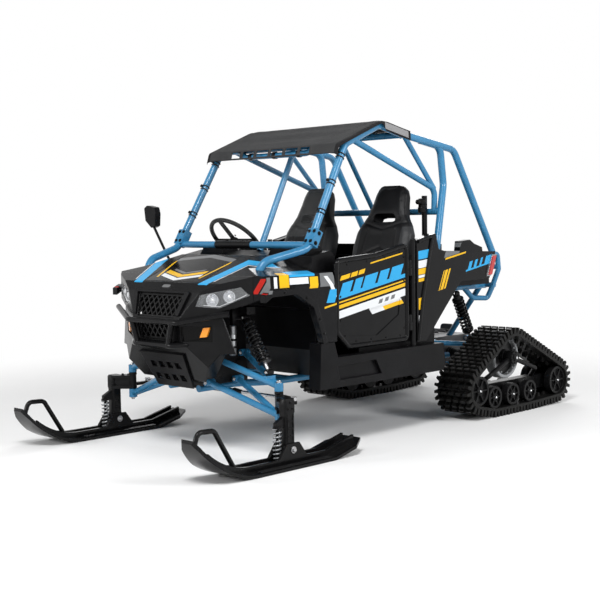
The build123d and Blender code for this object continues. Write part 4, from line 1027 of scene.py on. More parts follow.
back_form = cut_slot(inflate(crowned(BACK_ROWS, BACK_STEPS, back_loop)))
cushion_form = inflate(crowned(CUSHION_ROWS, CUSHION_STEPS, cushion_loop))
for side, name in SIDES:
    soft_piece(f"seat_back_pad_{name}", back_form, back_groove, side, "seat_backs")
    soft_piece(f"seat_base_pad_{name}", cushion_form, cushion_groove, side, "seat_cushions")

# Cage fittings: screen clamps, rail clamps, bracket bolts and weld beads
PILLAR_FOOT = Vector((0.640, 0.547, 1.095))
PILLAR_HEAD = Vector((0.307, 0.517, 1.668))
SCREEN_UP = Vector((PILLAR_HEAD.x - PILLAR_FOOT.x, 0, PILLAR_HEAD.z - PILLAR_FOOT.z)).normalized()
SCREEN_OUT = Vector((SCREEN_UP.z, 0, -SCREEN_UP.x))
PILLAR_RADIUS = 0.022
CROSS_RADIUS = 0.020
CROSS_BARS = [
    # x, z, half length
    (0.300, 1.672, 0.517),
    (0.150, 1.731, 0.512),
    (-0.225, 1.742, 0.503),
    (-0.538, 1.288, 0.532),
    (0.618, 1.112, 0.546),
]
CLAMP_SHARES = (0.34, 0.62, 0.88)
CLAMP_SHIFT = 0.011
CLAMP_LONG = 0.009
KNOB = [(0.024, 0.006), (0.029, 0.006), (0.030, 0.010), (0.036, 0.009), (0.038, 0.006)]
BRACKET_RISE = 0.030
BRACKET_HALF = 0.018
LAMP_RAIL = (0.345, 1.628)
LAMP_RAIL_RADIUS = 0.017
RAIL_CLAMPS = (-0.20, 0.0, 0.20)


def cage_fittings():
    clamps, bolts, welds = meshes(3)
    for side in BOTH:
        foot, head = on_side(side, PILLAR_FOOT), on_side(side, PILLAR_HEAD)
        axis = (head - foot).normalized()
        for share in CLAMP_SHARES:
            spot = foot.lerp(head, share)
            for shift in (-CLAMP_SHIFT, CLAMP_SHIFT):
                sleeve(clamps, spot + axis * shift, axis, PILLAR_RADIUS, CLAMP_LONG)
            lathe(clamps, spot, SCREEN_OUT, KNOB, 12)
        plate = foot + SCREEN_UP * 0.066 - SCREEN_OUT * 0.005
        for rise in (-BRACKET_RISE, BRACKET_RISE):
            bolt(bolts, plate + SCREEN_UP * rise + Vector((0, side * 0.032, 0)), (0, side, 0), 0.008)
            for shift in (-BRACKET_HALF, BRACKET_HALF):
                face = plate + SCREEN_UP * rise + SCREEN_OUT * 0.026 + Vector((0, shift, 0))
                bolt(bolts, face, SCREEN_OUT, 0.007)
        for x, z, half in CROSS_BARS:
            weld(welds, (x, side * (half - PILLAR_RADIUS), z), LEFT, CROSS_RADIUS)
    for y in RAIL_CLAMPS:
        sleeve(clamps, (LAMP_RAIL[0], y, LAMP_RAIL[1]), LEFT, LAMP_RAIL_RADIUS, 0.030)
    sleeve(clamps, (0.618, -0.07, 1.112), LEFT, CROSS_RADIUS, 0.30)
    put("screen_clamps", clamps, black_steel)
    put("bracket_bolts", bolts, black_steel)
    put("cage_welds", welds, blue_paint)


cage_fittings()

# Lamps: reflector bowls and housing behind the clear lens, tail lamp frames, a bare badge
LAMP_OUT = Vector((0.885, 0.465, 0.0))
LAMP_LINE = [(0.280, 0.806), (0.303, 0.866), (0.505, 0.908), (0.545, 0.866), (0.400, 0.798)]
LAMP_BOWLS = [
    # y, z, radius
    (0.362, 0.840, 0.034),
    (0.446, 0.858, 0.032),
]
BOWL = [
    # depth, share of the radius: the outside, then the rim and the inside
    (0.0, 0.3),
    (0.006, 0.62),
    (0.018, 0.88),
    (0.032, 1.0),
    (0.034, 1.0),
    (0.034, 0.95),
    (0.018, 0.80),
    (0.008, 0.5),
    (0.006, 0.2),
]
BULB = [(0.006, 0.008), (0.020, 0.010), (0.027, 0.007), (0.029, 0.003)]
BOWL_DEEP = 0.040
HOUSING_DEEP = (0.0440, 0.0415)
STRIP_LINE = [(0.318, 0.812), (0.398, 0.806), (0.500, 0.852), (0.530, 0.868)]
STRIP_DEEP = 0.010
STRIP_RADIUS = 0.0045


def lamp_face(side, y, z, deep):
    """A point on the lens plane of one side, or behind it."""
    return on_side(side, Vector((1.190 - 0.525 * (y - 0.330), y, z)) - LAMP_OUT * deep)


def lamp_pieces():
    bowls, housings, strips = meshes(3)
    for side in BOTH:
        out = on_side(side, LAMP_OUT)
        rings = []
        for deep in HOUSING_DEEP:
            rings.append([housings.verts.new(lamp_face(side, y, z, deep)) for y, z in LAMP_LINE])
        bridge(housings, rings)
        for y, z, radius in LAMP_BOWLS:
            back = lamp_face(side, y, z, BOWL_DEEP)
            lathe(bowls, back, out, [(deep, radius * share) for deep, share in BOWL], 28)
            lathe(strips, back, out, BULB, 16)
        tube(strips, [lamp_face(side, y, z, STRIP_DEEP) for y, z in STRIP_LINE], STRIP_RADIUS, 8)
    put("lamp_bowls", bowls, chrome)
    put("lamp_housings", housings, charcoal)
    put("lamp_strips", strips, chrome)


lamp_pieces()

TAIL_LINE = [(-0.998, 1.006), (-0.962, 1.004), (-0.918, 0.886), (-0.950, 0.888)]
TAIL_FACE = 0.6053
TAIL_THICK = 0.009
TAIL_GROW = (1.30, 1.14)


def tail_frames():
    frames = bmesh.new()
    centre_x = sum(x for x, z in TAIL_LINE) / 4
    centre_z = sum(z for x, z in TAIL_LINE) / 4
    outline = []
    for x, z in TAIL_LINE:
        outline.append((centre_x + (x - centre_x) * TAIL_GROW[0], centre_z + (z - centre_z) * TAIL_GROW[1]))
    for y in (TAIL_FACE + TAIL_THICK, -TAIL_FACE):
        slab(frames, outline, (0, y, 0), AHEAD, UP, TAIL_THICK)
    put("tail_lamp_frames", frames, alloy)


tail_frames()

BADGE_AT = (1.1775, 0, 0.9025)
BADGE_UP = (-0.774, 0, 0.633)
badge = bmesh.new()
slab(badge, rounded_loop(0.032, 0.022, 4.0, 28), BADGE_AT, LEFT, BADGE_UP, 0.004)
put("nose_badge", badge, chrome)

# Grille frames on the nose
NOSE_AT = (1.262, 0, 0.735)
NOSE_UP = (-0.3659, 0, 0.9307)
NOSE_SIDE = [(0.166, 0.020), (0.200, 0.143), (0.232, 0.143), (0.192, 0.020)]
NOSE_TOP = [(-0.232, 0.1435), (0.232, 0.1435), (0.226, 0.1555), (-0.226, 0.1555)]
NOSE_THICK = 0.012
CHIN_AT = (1.245, 0, 0.600)
CHIN_UP = (0.1249, 0, 0.9922)
CHIN_SIDE = [(0.138, 0.026), (0.153, 0.116), (0.176, 0.116), (0.158, 0.026)]
CHIN_THICK = 0.009


def grille_frames():
    frames = bmesh.new()
    for side in (-1, 1):
        slab(frames, [(side * a, b) for a, b in NOSE_SIDE], NOSE_AT, LEFT, NOSE_UP, NOSE_THICK)
        slab(frames, [(side * a, b) for a, b in CHIN_SIDE], CHIN_AT, LEFT, CHIN_UP, CHIN_THICK)
    slab(frames, NOSE_TOP, NOSE_AT, LEFT, NOSE_UP, NOSE_THICK)
    put("grille_frames", frames, charcoal)


grille_frames()

# Radiator behind the grilles: a finned core between two shroud walls
RADIATOR_BACK = 1.119
RADIATOR_FRONT = 1.146
RADIATOR_HALF = 0.275
RADIATOR_LOW = 0.612
RADIATOR_HIGH = 0.864
SHROUD_FRONT = 1.184
SHROUD_WALL = (0.188, 0.194)
FIN_COUNT = 26
FIN_HALF = 0.158
FIN_THICK = 0.004
FIN_MARGIN = 0.006


def radiator():
    core = bmesh.new()
    low = (RADIATOR_BACK, -RADIATOR_HALF, RADIATOR_LOW)
    brick(core, low, (RADIATOR_FRONT - 0.008, RADIATOR_HALF, RADIATOR_HIGH))
    for side in (-1, 1):
        inner, outer = (side * wall for wall in SHROUD_WALL)
        brick(core, (RADIATOR_BACK, inner, RADIATOR_LOW), (SHROUD_FRONT, outer, RADIATOR_HIGH))
    span = RADIATOR_HIGH - RADIATOR_LOW - 2 * FIN_MARGIN
    for index in range(FIN_COUNT):
        z = RADIATOR_LOW + FIN_MARGIN + index * span / FIN_COUNT
        brick(core, (RADIATOR_FRONT - 0.009, -FIN_HALF, z), (RADIATOR_FRONT - 0.002, FIN_HALF, z + FIN_THICK))
    put("radiator", core, black_steel)


radiator()

# Mirror glass, wheel cap, gauges, grab bar, pedals, lever and belt reels
MIRROR_LINE = [(0.028, 1.226), (0.062, 1.214), (0.118, 1.258), (0.128, 1.334), (0.100, 1.350), (0.034, 1.338)]
MIRROR_CENTRE = (0.072, 1.284)
MIRROR_SHARE = 0.88
MIRROR_BACK = 0.690
BODY_HALF = 0.625
WHEEL_AT = Vector((0.385, -0.310, 1.134))
WHEEL_AXIS = Vector((-0.7071, 0, 0.7071))
WHEEL_BUTTON = [(-0.006, 0.030), (-0.001, 0.030), (0.004, 0.026), (0.006, 0.012)]
GAUGE_AT = Vector((0.4625, -0.310, 1.088))
GAUGE_OUT = Vector((-0.755, 0, 0.656))
GAUGE_SHIFT = 0.045
BEZEL = [(-0.004, 0.024), (0.005, 0.024), (0.006, 0.020), (0.002, 0.019), (0.002, 0.004)]
GRIP_LINE = [
    (0.418, 0.20, 1.010),
    (0.372, 0.20, 1.020),
    (0.362, 0.225, 1.022),
    (0.362, 0.435, 1.022),
    (0.372, 0.46, 1.020),
    (0.418, 0.46, 1.010),
]
PEDALS = [
    # y, half width
    (-0.345, 0.036),
    (-0.250, 0.024),
]
PEDAL_ARM = [(0.584, 0.715), (0.545, 0.690), (0.505, 0.610)]
PEDAL_TALL = 0.045
LEVER_Y = -0.110
LEVER_LINE = [(0.425, 0.960), (0.372, 1.010), (0.345, 1.060)]
LEVER_KNOB = [(0, 0.008), (0.008, 0.017), (0.024, 0.019), (0.034, 0.011)]
BELT_POST = Vector((-0.4827, 0.452, 1.325))
REEL_DRUM = [
    # height, radius
    (-0.046, 0.016),
    (-0.042, 0.025),
    (-0.012, 0.026),
    (-0.008, 0.022),
    (0.006, 0.022),
    (0.010, 0.027),
    (0.034, 0.027),
    (0.043, 0.020),
    (0.046, 0.008),
]
BELT_GUIDE = [(0.0, 0.010), (0.003, 0.015), (0.022, 0.015), (0.025, 0.010)]


def dash_fittings():
    glass, cap, gauges = meshes(3)
    outline = []
    for y, z in MIRROR_LINE:
        across = -BODY_HALF - MIRROR_CENTRE[0] - (y - MIRROR_CENTRE[0]) * MIRROR_SHARE
        outline.append((across, MIRROR_CENTRE[1] + (z - MIRROR_CENTRE[1]) * MIRROR_SHARE))
    slab(glass, outline, (MIRROR_BACK - 0.002, 0, 0), LEFT, UP, 0.003)
    put("mirror_glass", glass, mirror_glass)
    lathe(cap, WHEEL_AT, WHEEL_AXIS, WHEEL_BUTTON, 24)
    bolt_ring(cap, WHEEL_AT - WHEEL_AXIS * 0.004, WHEEL_AXIS, 0.052, 3, 0.004)
    put("wheel_cap", cap, gloss_black, "steering_wheel")
    for shift in (-GAUGE_SHIFT, GAUGE_SHIFT):
        lathe(gauges, GAUGE_AT + Vector((0, shift, 0)), GAUGE_OUT, BEZEL, 28)
    put("dash_gauges", gauges, chrome)


def cabin_fittings():
    bars, pads = meshes(2)
    tube(bars, GRIP_LINE, 0.011, 12)
    for y, half in PEDALS:
        tube(bars, [(x, y, z) for x, z in PEDAL_ARM], 0.008)
        face = [(-half, -PEDAL_TALL), (half, -PEDAL_TALL), (half, PEDAL_TALL), (-half, PEDAL_TALL)]
        slab(pads, face, (0.512, y, 0.600), LEFT, (0.5, 0, 0.866), 0.012)
    tube(bars, [(x, LEVER_Y, z) for x, z in LEVER_LINE], 0.007)
    lathe(pads, (0.347, LEVER_Y, 1.052), (-0.45, 0, 0.89), LEVER_KNOB)
    for side in BOTH:
        reel = on_side(side, BELT_POST)
        lathe(bars, reel + Vector((0.024, 0, 0)), UP, REEL_DRUM, 24)
        lathe(pads, reel + Vector((0.046, 0, 0.022)), AHEAD, BELT_GUIDE, 18)
    put("cabin_bars", bars, black_steel)
    put("cabin_pads", pads, rubber)


dash_fittings()
cabin_fittings()

# Door bolts, panel tube, flare bolts and bed ribs
DOOR_LINE = [(0.480, 1.022), (0.150, 1.044), (-0.120, 1.095), (-0.120, 0.545), (0.390, 0.545), (0.480, 0.630)]
DOOR_FACE = 0.605
BOLT_STEP = 0.135
BOLT_INSET = 0.027


def door_spots():
    """Places for the skin's bolts, evenly along each edge just inside the tube."""
    spots = []
    corners = [Vector(corner) for corner in DOOR_LINE]
    for start, end in zip(corners, corners[1:] + corners[:1]):
        count = max(1, round((end - start).length / BOLT_STEP))
        run = (end - start).normalized()
        inward = Vector((-run.y, run.x)) * BOLT_INSET
        spots += [start.lerp(end, (index + 0.5) / count) + inward for index in range(count)]
    return spots


def door_bolts(side, name):
    bolts = bmesh.new()
    for spot in door_spots():
        bolt(bolts, (spot.x, side * DOOR_FACE, spot.y), (0, side, 0), 0.004)
    put(f"door_bolts_{name}", bolts, black_steel, f"door_{name}")


for side, name in SIDES:
    door_bolts(side, name)

PANEL_TUBE = [
    # x, z
    (-0.222, 0.530),
    (-0.262, 0.760),
    (-0.318, 0.980),
    (-0.352, 1.110),
    (-0.345, 1.140),
    (-0.222, 1.112),
]
PANEL_FACE = 0.608
FLARE_BOLTS = [(0.661, 0.718), (0.758, 0.838), (0.920, 0.876), (0.628, 0.640)]
FLARE_FACE = 0.647


def side_fittings():
    tubes, bolts = meshes(2)
    for side in BOTH:
        tube(tubes, [(x, side * PANEL_FACE, z) for x, z in PANEL_TUBE], 0.011)
        for x, z in FLARE_BOLTS:
            bolt(bolts, (x, side * FLARE_FACE, z), (0, side, 0), 0.0055)
    put("panel_tubes", tubes, black_steel)
    put("flare_bolts", bolts, black_steel)


side_fittings()

BED_FLOOR = (-0.985, 0.8393)
BED_RIBS = 9
RIB_STEP = 0.112
RIB_LONG = 0.460
RIB_LINE = [(-0.018, 0.0), (0.018, 0.0), (0.011, 0.010), (-0.011, 0.010)]
bed_ribs = bmesh.new()
for index in range(BED_RIBS):
    y = (index - (BED_RIBS - 1) / 2) * RIB_STEP
    slab(bed_ribs, RIB_LINE, (BED_FLOOR[0], y, BED_FLOOR[1]), LEFT, UP, RIB_LONG)
put("bed_ribs", bed_ribs, charcoal)

# Engine fins, drive covers and gearbox plate
ENGINE_REAR = -0.805
ENGINE_FRONT = -0.500
ENGINE_HALF = 0.190
REAR_FINS = 7
REAR_FIN_LOW = 0.505
REAR_FIN_STEP = 0.032
REAR_FIN_HALF = 0.172
SIDE_FINS = 5
SIDE_FIN_STEP = 0.027
SIDE_FIN_LOW = 0.480
SIDE_FIN_HIGH = 0.715
FIN_DEEP = 0.012
COVER_AT = (ENGINE_FRONT - 0.085, 0.560)
COVER = [(0.0, 0.080), (0.010, 0.080), (0.018, 0.070), (0.020, 0.046), (0.015, 0.042), (0.020, 0.018)]
GEARBOX_REAR = -1.294
GEARBOX_TOP = 0.475
GEARBOX_FINS = 6
GEARBOX_FIN_STEP = 0.078
GEARBOX_FIN_HALF = 0.085
GEARBOX_BOLT_Y = (-0.048, 0.048)
GEARBOX_BOLT_Z = (0.30, 0.36, 0.424)


def engine_fittings():
    fins, bolts = meshes(2)
    for index in range(REAR_FINS):
        z = REAR_FIN_LOW + index * REAR_FIN_STEP
        low = (ENGINE_REAR - FIN_DEEP, -REAR_FIN_HALF, z)
        brick(fins, low, (ENGINE_REAR + 0.002, REAR_FIN_HALF, z + 0.007))
    for side in (-1, 1):
        root, tip = side * (ENGINE_HALF - 0.002), side * (ENGINE_HALF + FIN_DEEP)
        for index in range(SIDE_FINS):
            x = ENGINE_REAR + 0.018 + index * SIDE_FIN_STEP
            brick(fins, (x, root, SIDE_FIN_LOW), (x + 0.006, tip, SIDE_FIN_HIGH))
        axis = (0, side, 0)
        lathe(fins, (COVER_AT[0], root, COVER_AT[1]), axis, COVER, 36)
        bolt_ring(bolts, (COVER_AT[0], side * (ENGINE_HALF + 0.008), COVER_AT[1]), axis, 0.073, 8, 0.004)
    for index in range(GEARBOX_FINS):
        x = GEARBOX_REAR + 0.05 + index * GEARBOX_FIN_STEP
        low = (x, -GEARBOX_FIN_HALF, GEARBOX_TOP - 0.002)
        brick(fins, low, (x + 0.010, GEARBOX_FIN_HALF, GEARBOX_TOP + 0.010))
    plate = rounded_loop(0.125, 0.120, 6.0, 40)
    slab(fins, plate, (GEARBOX_REAR + 0.002, 0, 0.392), UP, LEFT, 0.010)
    for y in GEARBOX_BOLT_Y:
        for z in GEARBOX_BOLT_Z:
            bolt(bolts, (GEARBOX_REAR - 0.008, y, z), (-1, 0, 0), 0.005)
    put("engine_fins", fins, cast_alloy)
    put("engine_bolts", bolts, steel)


engine_fittings()

# Tracks: belts with their lugs, wheel caps, hub caps, inner drive lugs and sprocket rims
TRACK_Y = 0.600
TRACK_HALF = 0.130
BELT_THICK = 0.016
WHEEL_FACE = 0.716
HUB = (-1.050, 0.356)
HUB_FACE = 0.726
ROAD_WHEELS = [(-0.685, 0.181), (-1.556, 0.158), (-0.847, 0.124), (-1.040, 0.124), (-1.233, 0.124)]
WRAP = [
    # x, z, radius
    (-0.685, 0.181, 0.092),
    (-1.050, 0.356, 0.138),
    (-1.556, 0.158, 0.092),
    (-1.233, 0.124, 0.070),
    (-0.847, 0.124, 0.070),
]
ARC_STEPS = 12
BELT_SPOTS = 288
LUG_STEP = 8
LUG_TALL = 0.038
LUG_BASE = 0.0125
LUG_CREST = 0.0085
LUG_SINK = 0.002
TREAD_COLUMNS = {
    # first spot: centre across the belt, half width
    0: ((-0.108, 0.019), (-0.054, 0.018), (0.000, 0.018), (0.054, 0.018), (0.108, 0.019)),
    4: ((-0.081, 0.018), (-0.027, 0.018), (0.027, 0.018), (0.081, 0.018), (0.121, 0.008), (-0.121, 0.008)),
}
DRIVE_COLUMNS = [
    # outward shift, half width
    (-0.038, 0.012),
    (0.0615, 0.007),
]
DRIVE_TALL = 0.024
WHEEL_CAP = [(0.0, 0.008), (0.006, 0.008), (0.009, 0.006), (0.010, 0.002)]
HUB_DISC = [(0.0, 0.024), (0.007, 0.022), (0.010, 0.016), (0.011, 0.012)]
HUB_NUT = [(0.010, 0.009), (0.014, 0.009), (0.016, 0.004)]
RIM_FACE = 0.652
RIM_INNER = 0.117
RIM_OUTER = 0.134
RIM_THICK = 0.005


def belt_path(grow):
    """The belt's line round its wheels, grown outward: arcs joined by straights."""
    count = len(WRAP)
    normals = []
    for index, (x, z, radius) in enumerate(WRAP):
        next_x, next_z, next_radius = WRAP[(index + 1) % count]
        ahead = Vector((next_x - x, next_z - z))
        lean = (radius - next_radius) / ahead.length
        ahead.normalize()
        normals.append(Vector((ahead.y, -ahead.x)) * math.sqrt(1 - lean * lean) + ahead * lean)
    path = []
    for index, (x, z, radius) in enumerate(WRAP):
        enter, leave = normals[index - 1], normals[index]
        for step in range(ARC_STEPS + 1):
            spoke = enter.slerp(leave, step / ARC_STEPS)
            path.append(Vector((x + spoke.x * (radius + grow), 0, z + spoke.y * (radius + grow))))
    return path + path[:1]


def belt_bars(mesh, grow, half, y, base, crest, height, first):
    """Bars set across the belt, each some spots after the last; a negative height points inward."""
    spots = evenly(belt_path(grow), BELT_SPOTS)[0]
    for index in range(first, BELT_SPOTS, LUG_STEP):
        run = (spots[(index + 1) % BELT_SPOTS] - spots[index - 1]).normalized()
        out = Vector((run.z, 0, -run.x)) * height
        foot, top = spots[index] - out.normalized() * LUG_SINK, spots[index] + out
        section = [foot - run * base, foot + run * base, top + run * crest, top - run * crest]
        rings = []
        for edge in (y - half, y + half):
            rings.append([mesh.verts.new(point + Vector((0, edge, 0))) for point in section])
        bridge(mesh, rings)


def belt_band(mesh, y):
    rings = []
    for low, high in zip(belt_path(0.0)[:-1], belt_path(BELT_THICK)[:-1]):
        ring = []
        for point, edge in ((low, -1), (high, -1), (high, 1), (low, 1)):
            ring.append(mesh.verts.new(point + Vector((0, y + edge * TRACK_HALF, 0))))
        rings.append(ring)
    bridge(mesh, rings, close=True)


def annulus(mesh, centre, axis, inner, outer, thick):
    axis, side, up = cross_axes(axis)
    rings = []
    for reach, radius in ((0.0, inner), (0.0, outer), (thick, outer), (thick, inner)):
        rings.append(ring_of(mesh, Vector(centre) + axis * reach, side, up, radius, 48))
    bridge(mesh, rings, close=True)


def track_fittings():
    caps, bolts, tread, drive, rims = meshes(5)
    for side in BOTH:
        axis = (0, side, 0)
        for x, z in ROAD_WHEELS:
            face = (x, side * WHEEL_FACE, z)
            lathe(caps, face, axis, WHEEL_CAP, 16)
            bolt_ring(bolts, face, axis, 0.0195, 6, 0.003)
        hub = (HUB[0], side * HUB_FACE, HUB[1])
        lathe(bolts, hub, axis, HUB_DISC, 20)
        lathe(caps, hub, axis, HUB_NUT, 6)
        bolt_ring(bolts, hub, axis, 0.032, 6, 0.0045)
        rim = (HUB[0], side * RIM_FACE, HUB[1])
        annulus(rims, rim, axis, RIM_INNER, RIM_OUTER, RIM_THICK)
        bolt_ring(rims, rim, axis, 0.104, 10, 0.004)
        y = side * TRACK_Y
        belt_band(tread, y)
        for first, columns in TREAD_COLUMNS.items():
            for shift, half in columns:
                belt_bars(tread, BELT_THICK, half, y + shift, LUG_BASE, LUG_CREST, LUG_TALL, first)
        for shift, half in DRIVE_COLUMNS:
            belt_bars(drive, 0.0, half, y + side * shift, 0.016, 0.008, -DRIVE_TALL, 0)
    put("track_caps", caps, chrome)
    put("track_bolts", bolts, black_steel)
    put("track_tread", tread, rubber, replaces=("track_belts",))
    put("track_drive_lugs", drive, rubber)
    put("sprocket_rims", rims, alloy)


track_fittings()

# Skis: deck ridges and saddle bolts
SKI_Y = 0.73
SKI_DECK = 0.016
RIDGE_SHIFTS = (-0.092, -0.072, 0.072, 0.092)
RIDGE_SPOTS = (0.775, 0.79, 1.02, 1.27, 1.285)
SADDLE = (1.005, 0.084)
SADDLE_HALF = 0.0463


def ski_fittings(side, name):
    ridges, bolts = meshes(2)
    for shift in RIDGE_SHIFTS:
        tube(ridges, [(x, side * SKI_Y + shift, SKI_DECK + 0.002) for x in RIDGE_SPOTS], 0.006, 8)
    for face in (-1, 1):
        bolt(bolts, (SADDLE[0], side * SKI_Y + face * SADDLE_HALF, SADDLE[1]), (0, face, 0), 0.012)
    put(f"ski_ridges_{name}", ridges, ski_black, f"ski_{name}")
    put(f"ski_bolts_{name}", bolts, steel, f"ski_{name}")


for side, name in SIDES:
    ski_fittings(side, name)

# Ski legs: chamfered posts with raised ribs, and forged knuckles
LEG_X = 1.005
LEG_STATIONS = [
    # z, half length, half width
    (0.048, 0.030, 0.027),
    (0.058, 0.035, 0.0295),
    (0.112, 0.035, 0.0295),
    (0.134, 0.030, 0.0245),
    (0.248, 0.030, 0.0245),
    (0.276, 0.035, 0.0295),
    (0.334, 0.035, 0.0295),
    (0.345, 0.029, 0.0240),
]
LEG_CHAMFER = 0.35
LEG_FACE = 0.0295
LEG_TOP = 0.345
RIB_FACE = 0.0215
RIB_DEEP = 0.008
RIB_THICK = 0.006
UPRIGHT_RIBS = (-0.023, 0.017)
UPRIGHT_LOW = 0.118
UPRIGHT_HIGH = 0.266
LEVEL_RIBS = (0.150, 0.188, 0.226)
LEVEL_HALF = 0.020
LEG_BOLTS = [(-0.014, 0.292), (0.016, 0.292), (0.001, 0.324)]
KINGPIN = (0.950, 0.620)
KNUCKLE_LOW = 0.265
KNUCKLE_WIDE = 0.024
KNUCKLE = [
    # height, radius
    (0.0, 0.019),
    (0.004, KNUCKLE_WIDE),
    (0.014, KNUCKLE_WIDE),
    (0.018, 0.021),
    (0.081, 0.021),
    (0.085, KNUCKLE_WIDE),
    (0.095, KNUCKLE_WIDE),
    (0.099, 0.019),
]
WEB_LINE = [(0.930, 0.620), (0.974, 0.620), (1.050, 0.702), (0.945, 0.702)]
WEB_LEVELS = [
    # low z, high z, share of the outline kept
    (0.265, 0.284, 1.0),
    (0.284, 0.328, 0.66),
    (0.328, 0.345, 1.0),
]
WEB_BOLTS = [
    # x, y, radius
    (0.985, 0.672, 0.0075),
    (0.958, 0.655, 0.0055),
]
STEER_X = 0.840
STEER_LINE = [(0.950, 0.606), (0.950, 0.634), (STEER_X, 0.632), (STEER_X, 0.608)]
STEER_LOW = 0.282
STEER_THICK = 0.018
STEER_EYE = 0.016
SEAT_LINE = [(1.032, 0.196), (1.090, 0.208), (1.090, 0.226), (1.032, 0.256)]
SEAT_HALF = 0.012


def leg_ring(mesh, side, z, half_long, half_wide):
    cut_long, cut_wide = half_long * (1 - LEG_CHAMFER * 0.6), half_wide * (1 - LEG_CHAMFER)
    corners = [(half_long, cut_wide), (cut_long, half_wide), (-cut_long, half_wide), (-half_long, cut_wide)]
    corners += [(-x, -y) for x, y in corners]
    return [mesh.verts.new((LEG_X + x, side * SKI_Y + y, z)) for x, y in corners]


def flat_plate(mesh, side, outline, low, high):
    slab(mesh, [(x, side * y) for x, y in outline], (0, 0, low), AHEAD, LEFT, high - low)


def leg_ribs(leg, bolts, side, face):
    """The ribs and bolts on the inner or outer face of a leg."""
    root = side * SKI_Y + face * RIB_FACE
    tip = root + face * RIB_DEEP
    for shift in UPRIGHT_RIBS:
        brick(leg, (LEG_X + shift, root, UPRIGHT_LOW), (LEG_X + shift + RIB_THICK, tip, UPRIGHT_HIGH))
    for z in LEVEL_RIBS:
        brick(leg, (LEG_X - LEVEL_HALF, root, z), (LEG_X + LEVEL_HALF, tip, z + RIB_THICK))
    for x, z in LEG_BOLTS:
        bolt(bolts, (LEG_X + x, side * SKI_Y + face * LEG_FACE, z), (0, face, 0), 0.0055)


def ski_leg(side, name):
    leg, bolts = meshes(2)
    bridge(leg, [leg_ring(leg, side, *station) for station in LEG_STATIONS])
    for face in (-1, 1):
        leg_ribs(leg, bolts, side, face)
    lathe(leg, (KINGPIN[0], side * KINGPIN[1], KNUCKLE_LOW), UP, KNUCKLE, 28)
    centre_x = sum(x for x, y in WEB_LINE) / 4
    for low, high, kept in WEB_LEVELS:
        outline = [(centre_x + (x - centre_x) * kept, y) for x, y in WEB_LINE]
        flat_plate(leg, side, outline, low, high)
    flat_plate(leg, side, STEER_LINE, STEER_LOW, STEER_LOW + STEER_THICK)
    eye = [(0.0, STEER_EYE), (STEER_THICK, STEER_EYE)]
    lathe(leg, (STEER_X, side * KINGPIN[1], STEER_LOW), UP, eye, 20)
    slab(leg, SEAT_LINE, (0, side * SKI_Y + SEAT_HALF, 0), AHEAD, UP, 2 * SEAT_HALF)
    for x, y, radius in WEB_BOLTS:
        bolt(bolts, (x, side * y, LEG_TOP), UP, radius)
    put(f"ski_leg_{name}", leg, black_steel, f"ski_{name}", replaces=(f"ski_spindle_{name}",))
    put(f"ski_leg_bolts_{name}", bolts, black_steel, f"ski_{name}")


for side, name in SIDES:
    ski_leg(side, name)

# Suspension: pivot bolts, ball bolts, shaft bellows and rack boots
FRONT_PIVOTS = [(1.057, 0.385), (0.850, 0.385), (1.040, 0.525), (0.800, 0.525)]
FRONT_PIVOT_Y = 0.1963
REAR_PIVOTS = [(-0.850, 0.302), (-1.250, 0.302), (-0.850, 0.437), (-1.250, 0.437)]
REAR_PIVOT_Y = 0.214
PIVOT_HALF = 0.030
BALL_BOLTS = [
    # z, direction up or down
    (0.408, 1),
    (0.215, -1),
]
BOOTS = [
    # start, outward or inward, length, big radius, small radius, folds
    ((HUB[0], 0.198, HUB[1]), 1, 0.075, 0.036, 0.021, 5),
    ((HUB[0], 0.4245, HUB[1]), -1, 0.065, 0.034, 0.021, 4),
    ((STEER_X, 0.150, 0.3103), 1, 0.060, 0.018, 0.0105, 5),
]


def bellows(mesh, start, axis, length, big, small, folds):
    profile = [(0.0, small)]
    for index in range(folds):
        share = index / folds
        profile.append(((share + 0.4 / folds) * length, big + (small - big) * share))
        profile.append(((share + 1.0 / folds) * length, (big + small) / 2 + (small - big) * share / 2))
    profile.append((length + 0.006, small * 0.9))
    lathe(mesh, start, axis, profile, 20)


def suspension_fittings():
    bolts, boots = meshes(2)
    for side in BOTH:
        for pivots, y in ((FRONT_PIVOTS, FRONT_PIVOT_Y), (REAR_PIVOTS, REAR_PIVOT_Y)):
            for x, z in pivots:
                for end in (-1, 1):
                    bolt(bolts, (x + end * PIVOT_HALF, side * y, z), (end, 0, 0), 0.008)
        for z, end in BALL_BOLTS:
            bolt(bolts, (KINGPIN[0], side * KINGPIN[1], z), (0, 0, end), 0.011)
        for start, way, *sizes in BOOTS:
            bellows(boots, on_side(side, start), (0, way * side, 0), *sizes)
    put("pivot_bolts", bolts, steel)
    put("shaft_boots", boots, rubber)


suspension_fittings()

# Floor bowl, lights and camera
FLOOR_FLAT = 11.0
FLOOR_RIM = 19.0
FLOOR_RISE = 12.0
FLOOR_TURNS = 96
FLOOR_STEPS = 14
PAPER_DARK = (0.90, 0.90, 0.90)
PAPER_LIGHT = (0.93, 0.93, 0.93)
SHADOW_REACH = 2.0
WHITE_REACH = 4.6


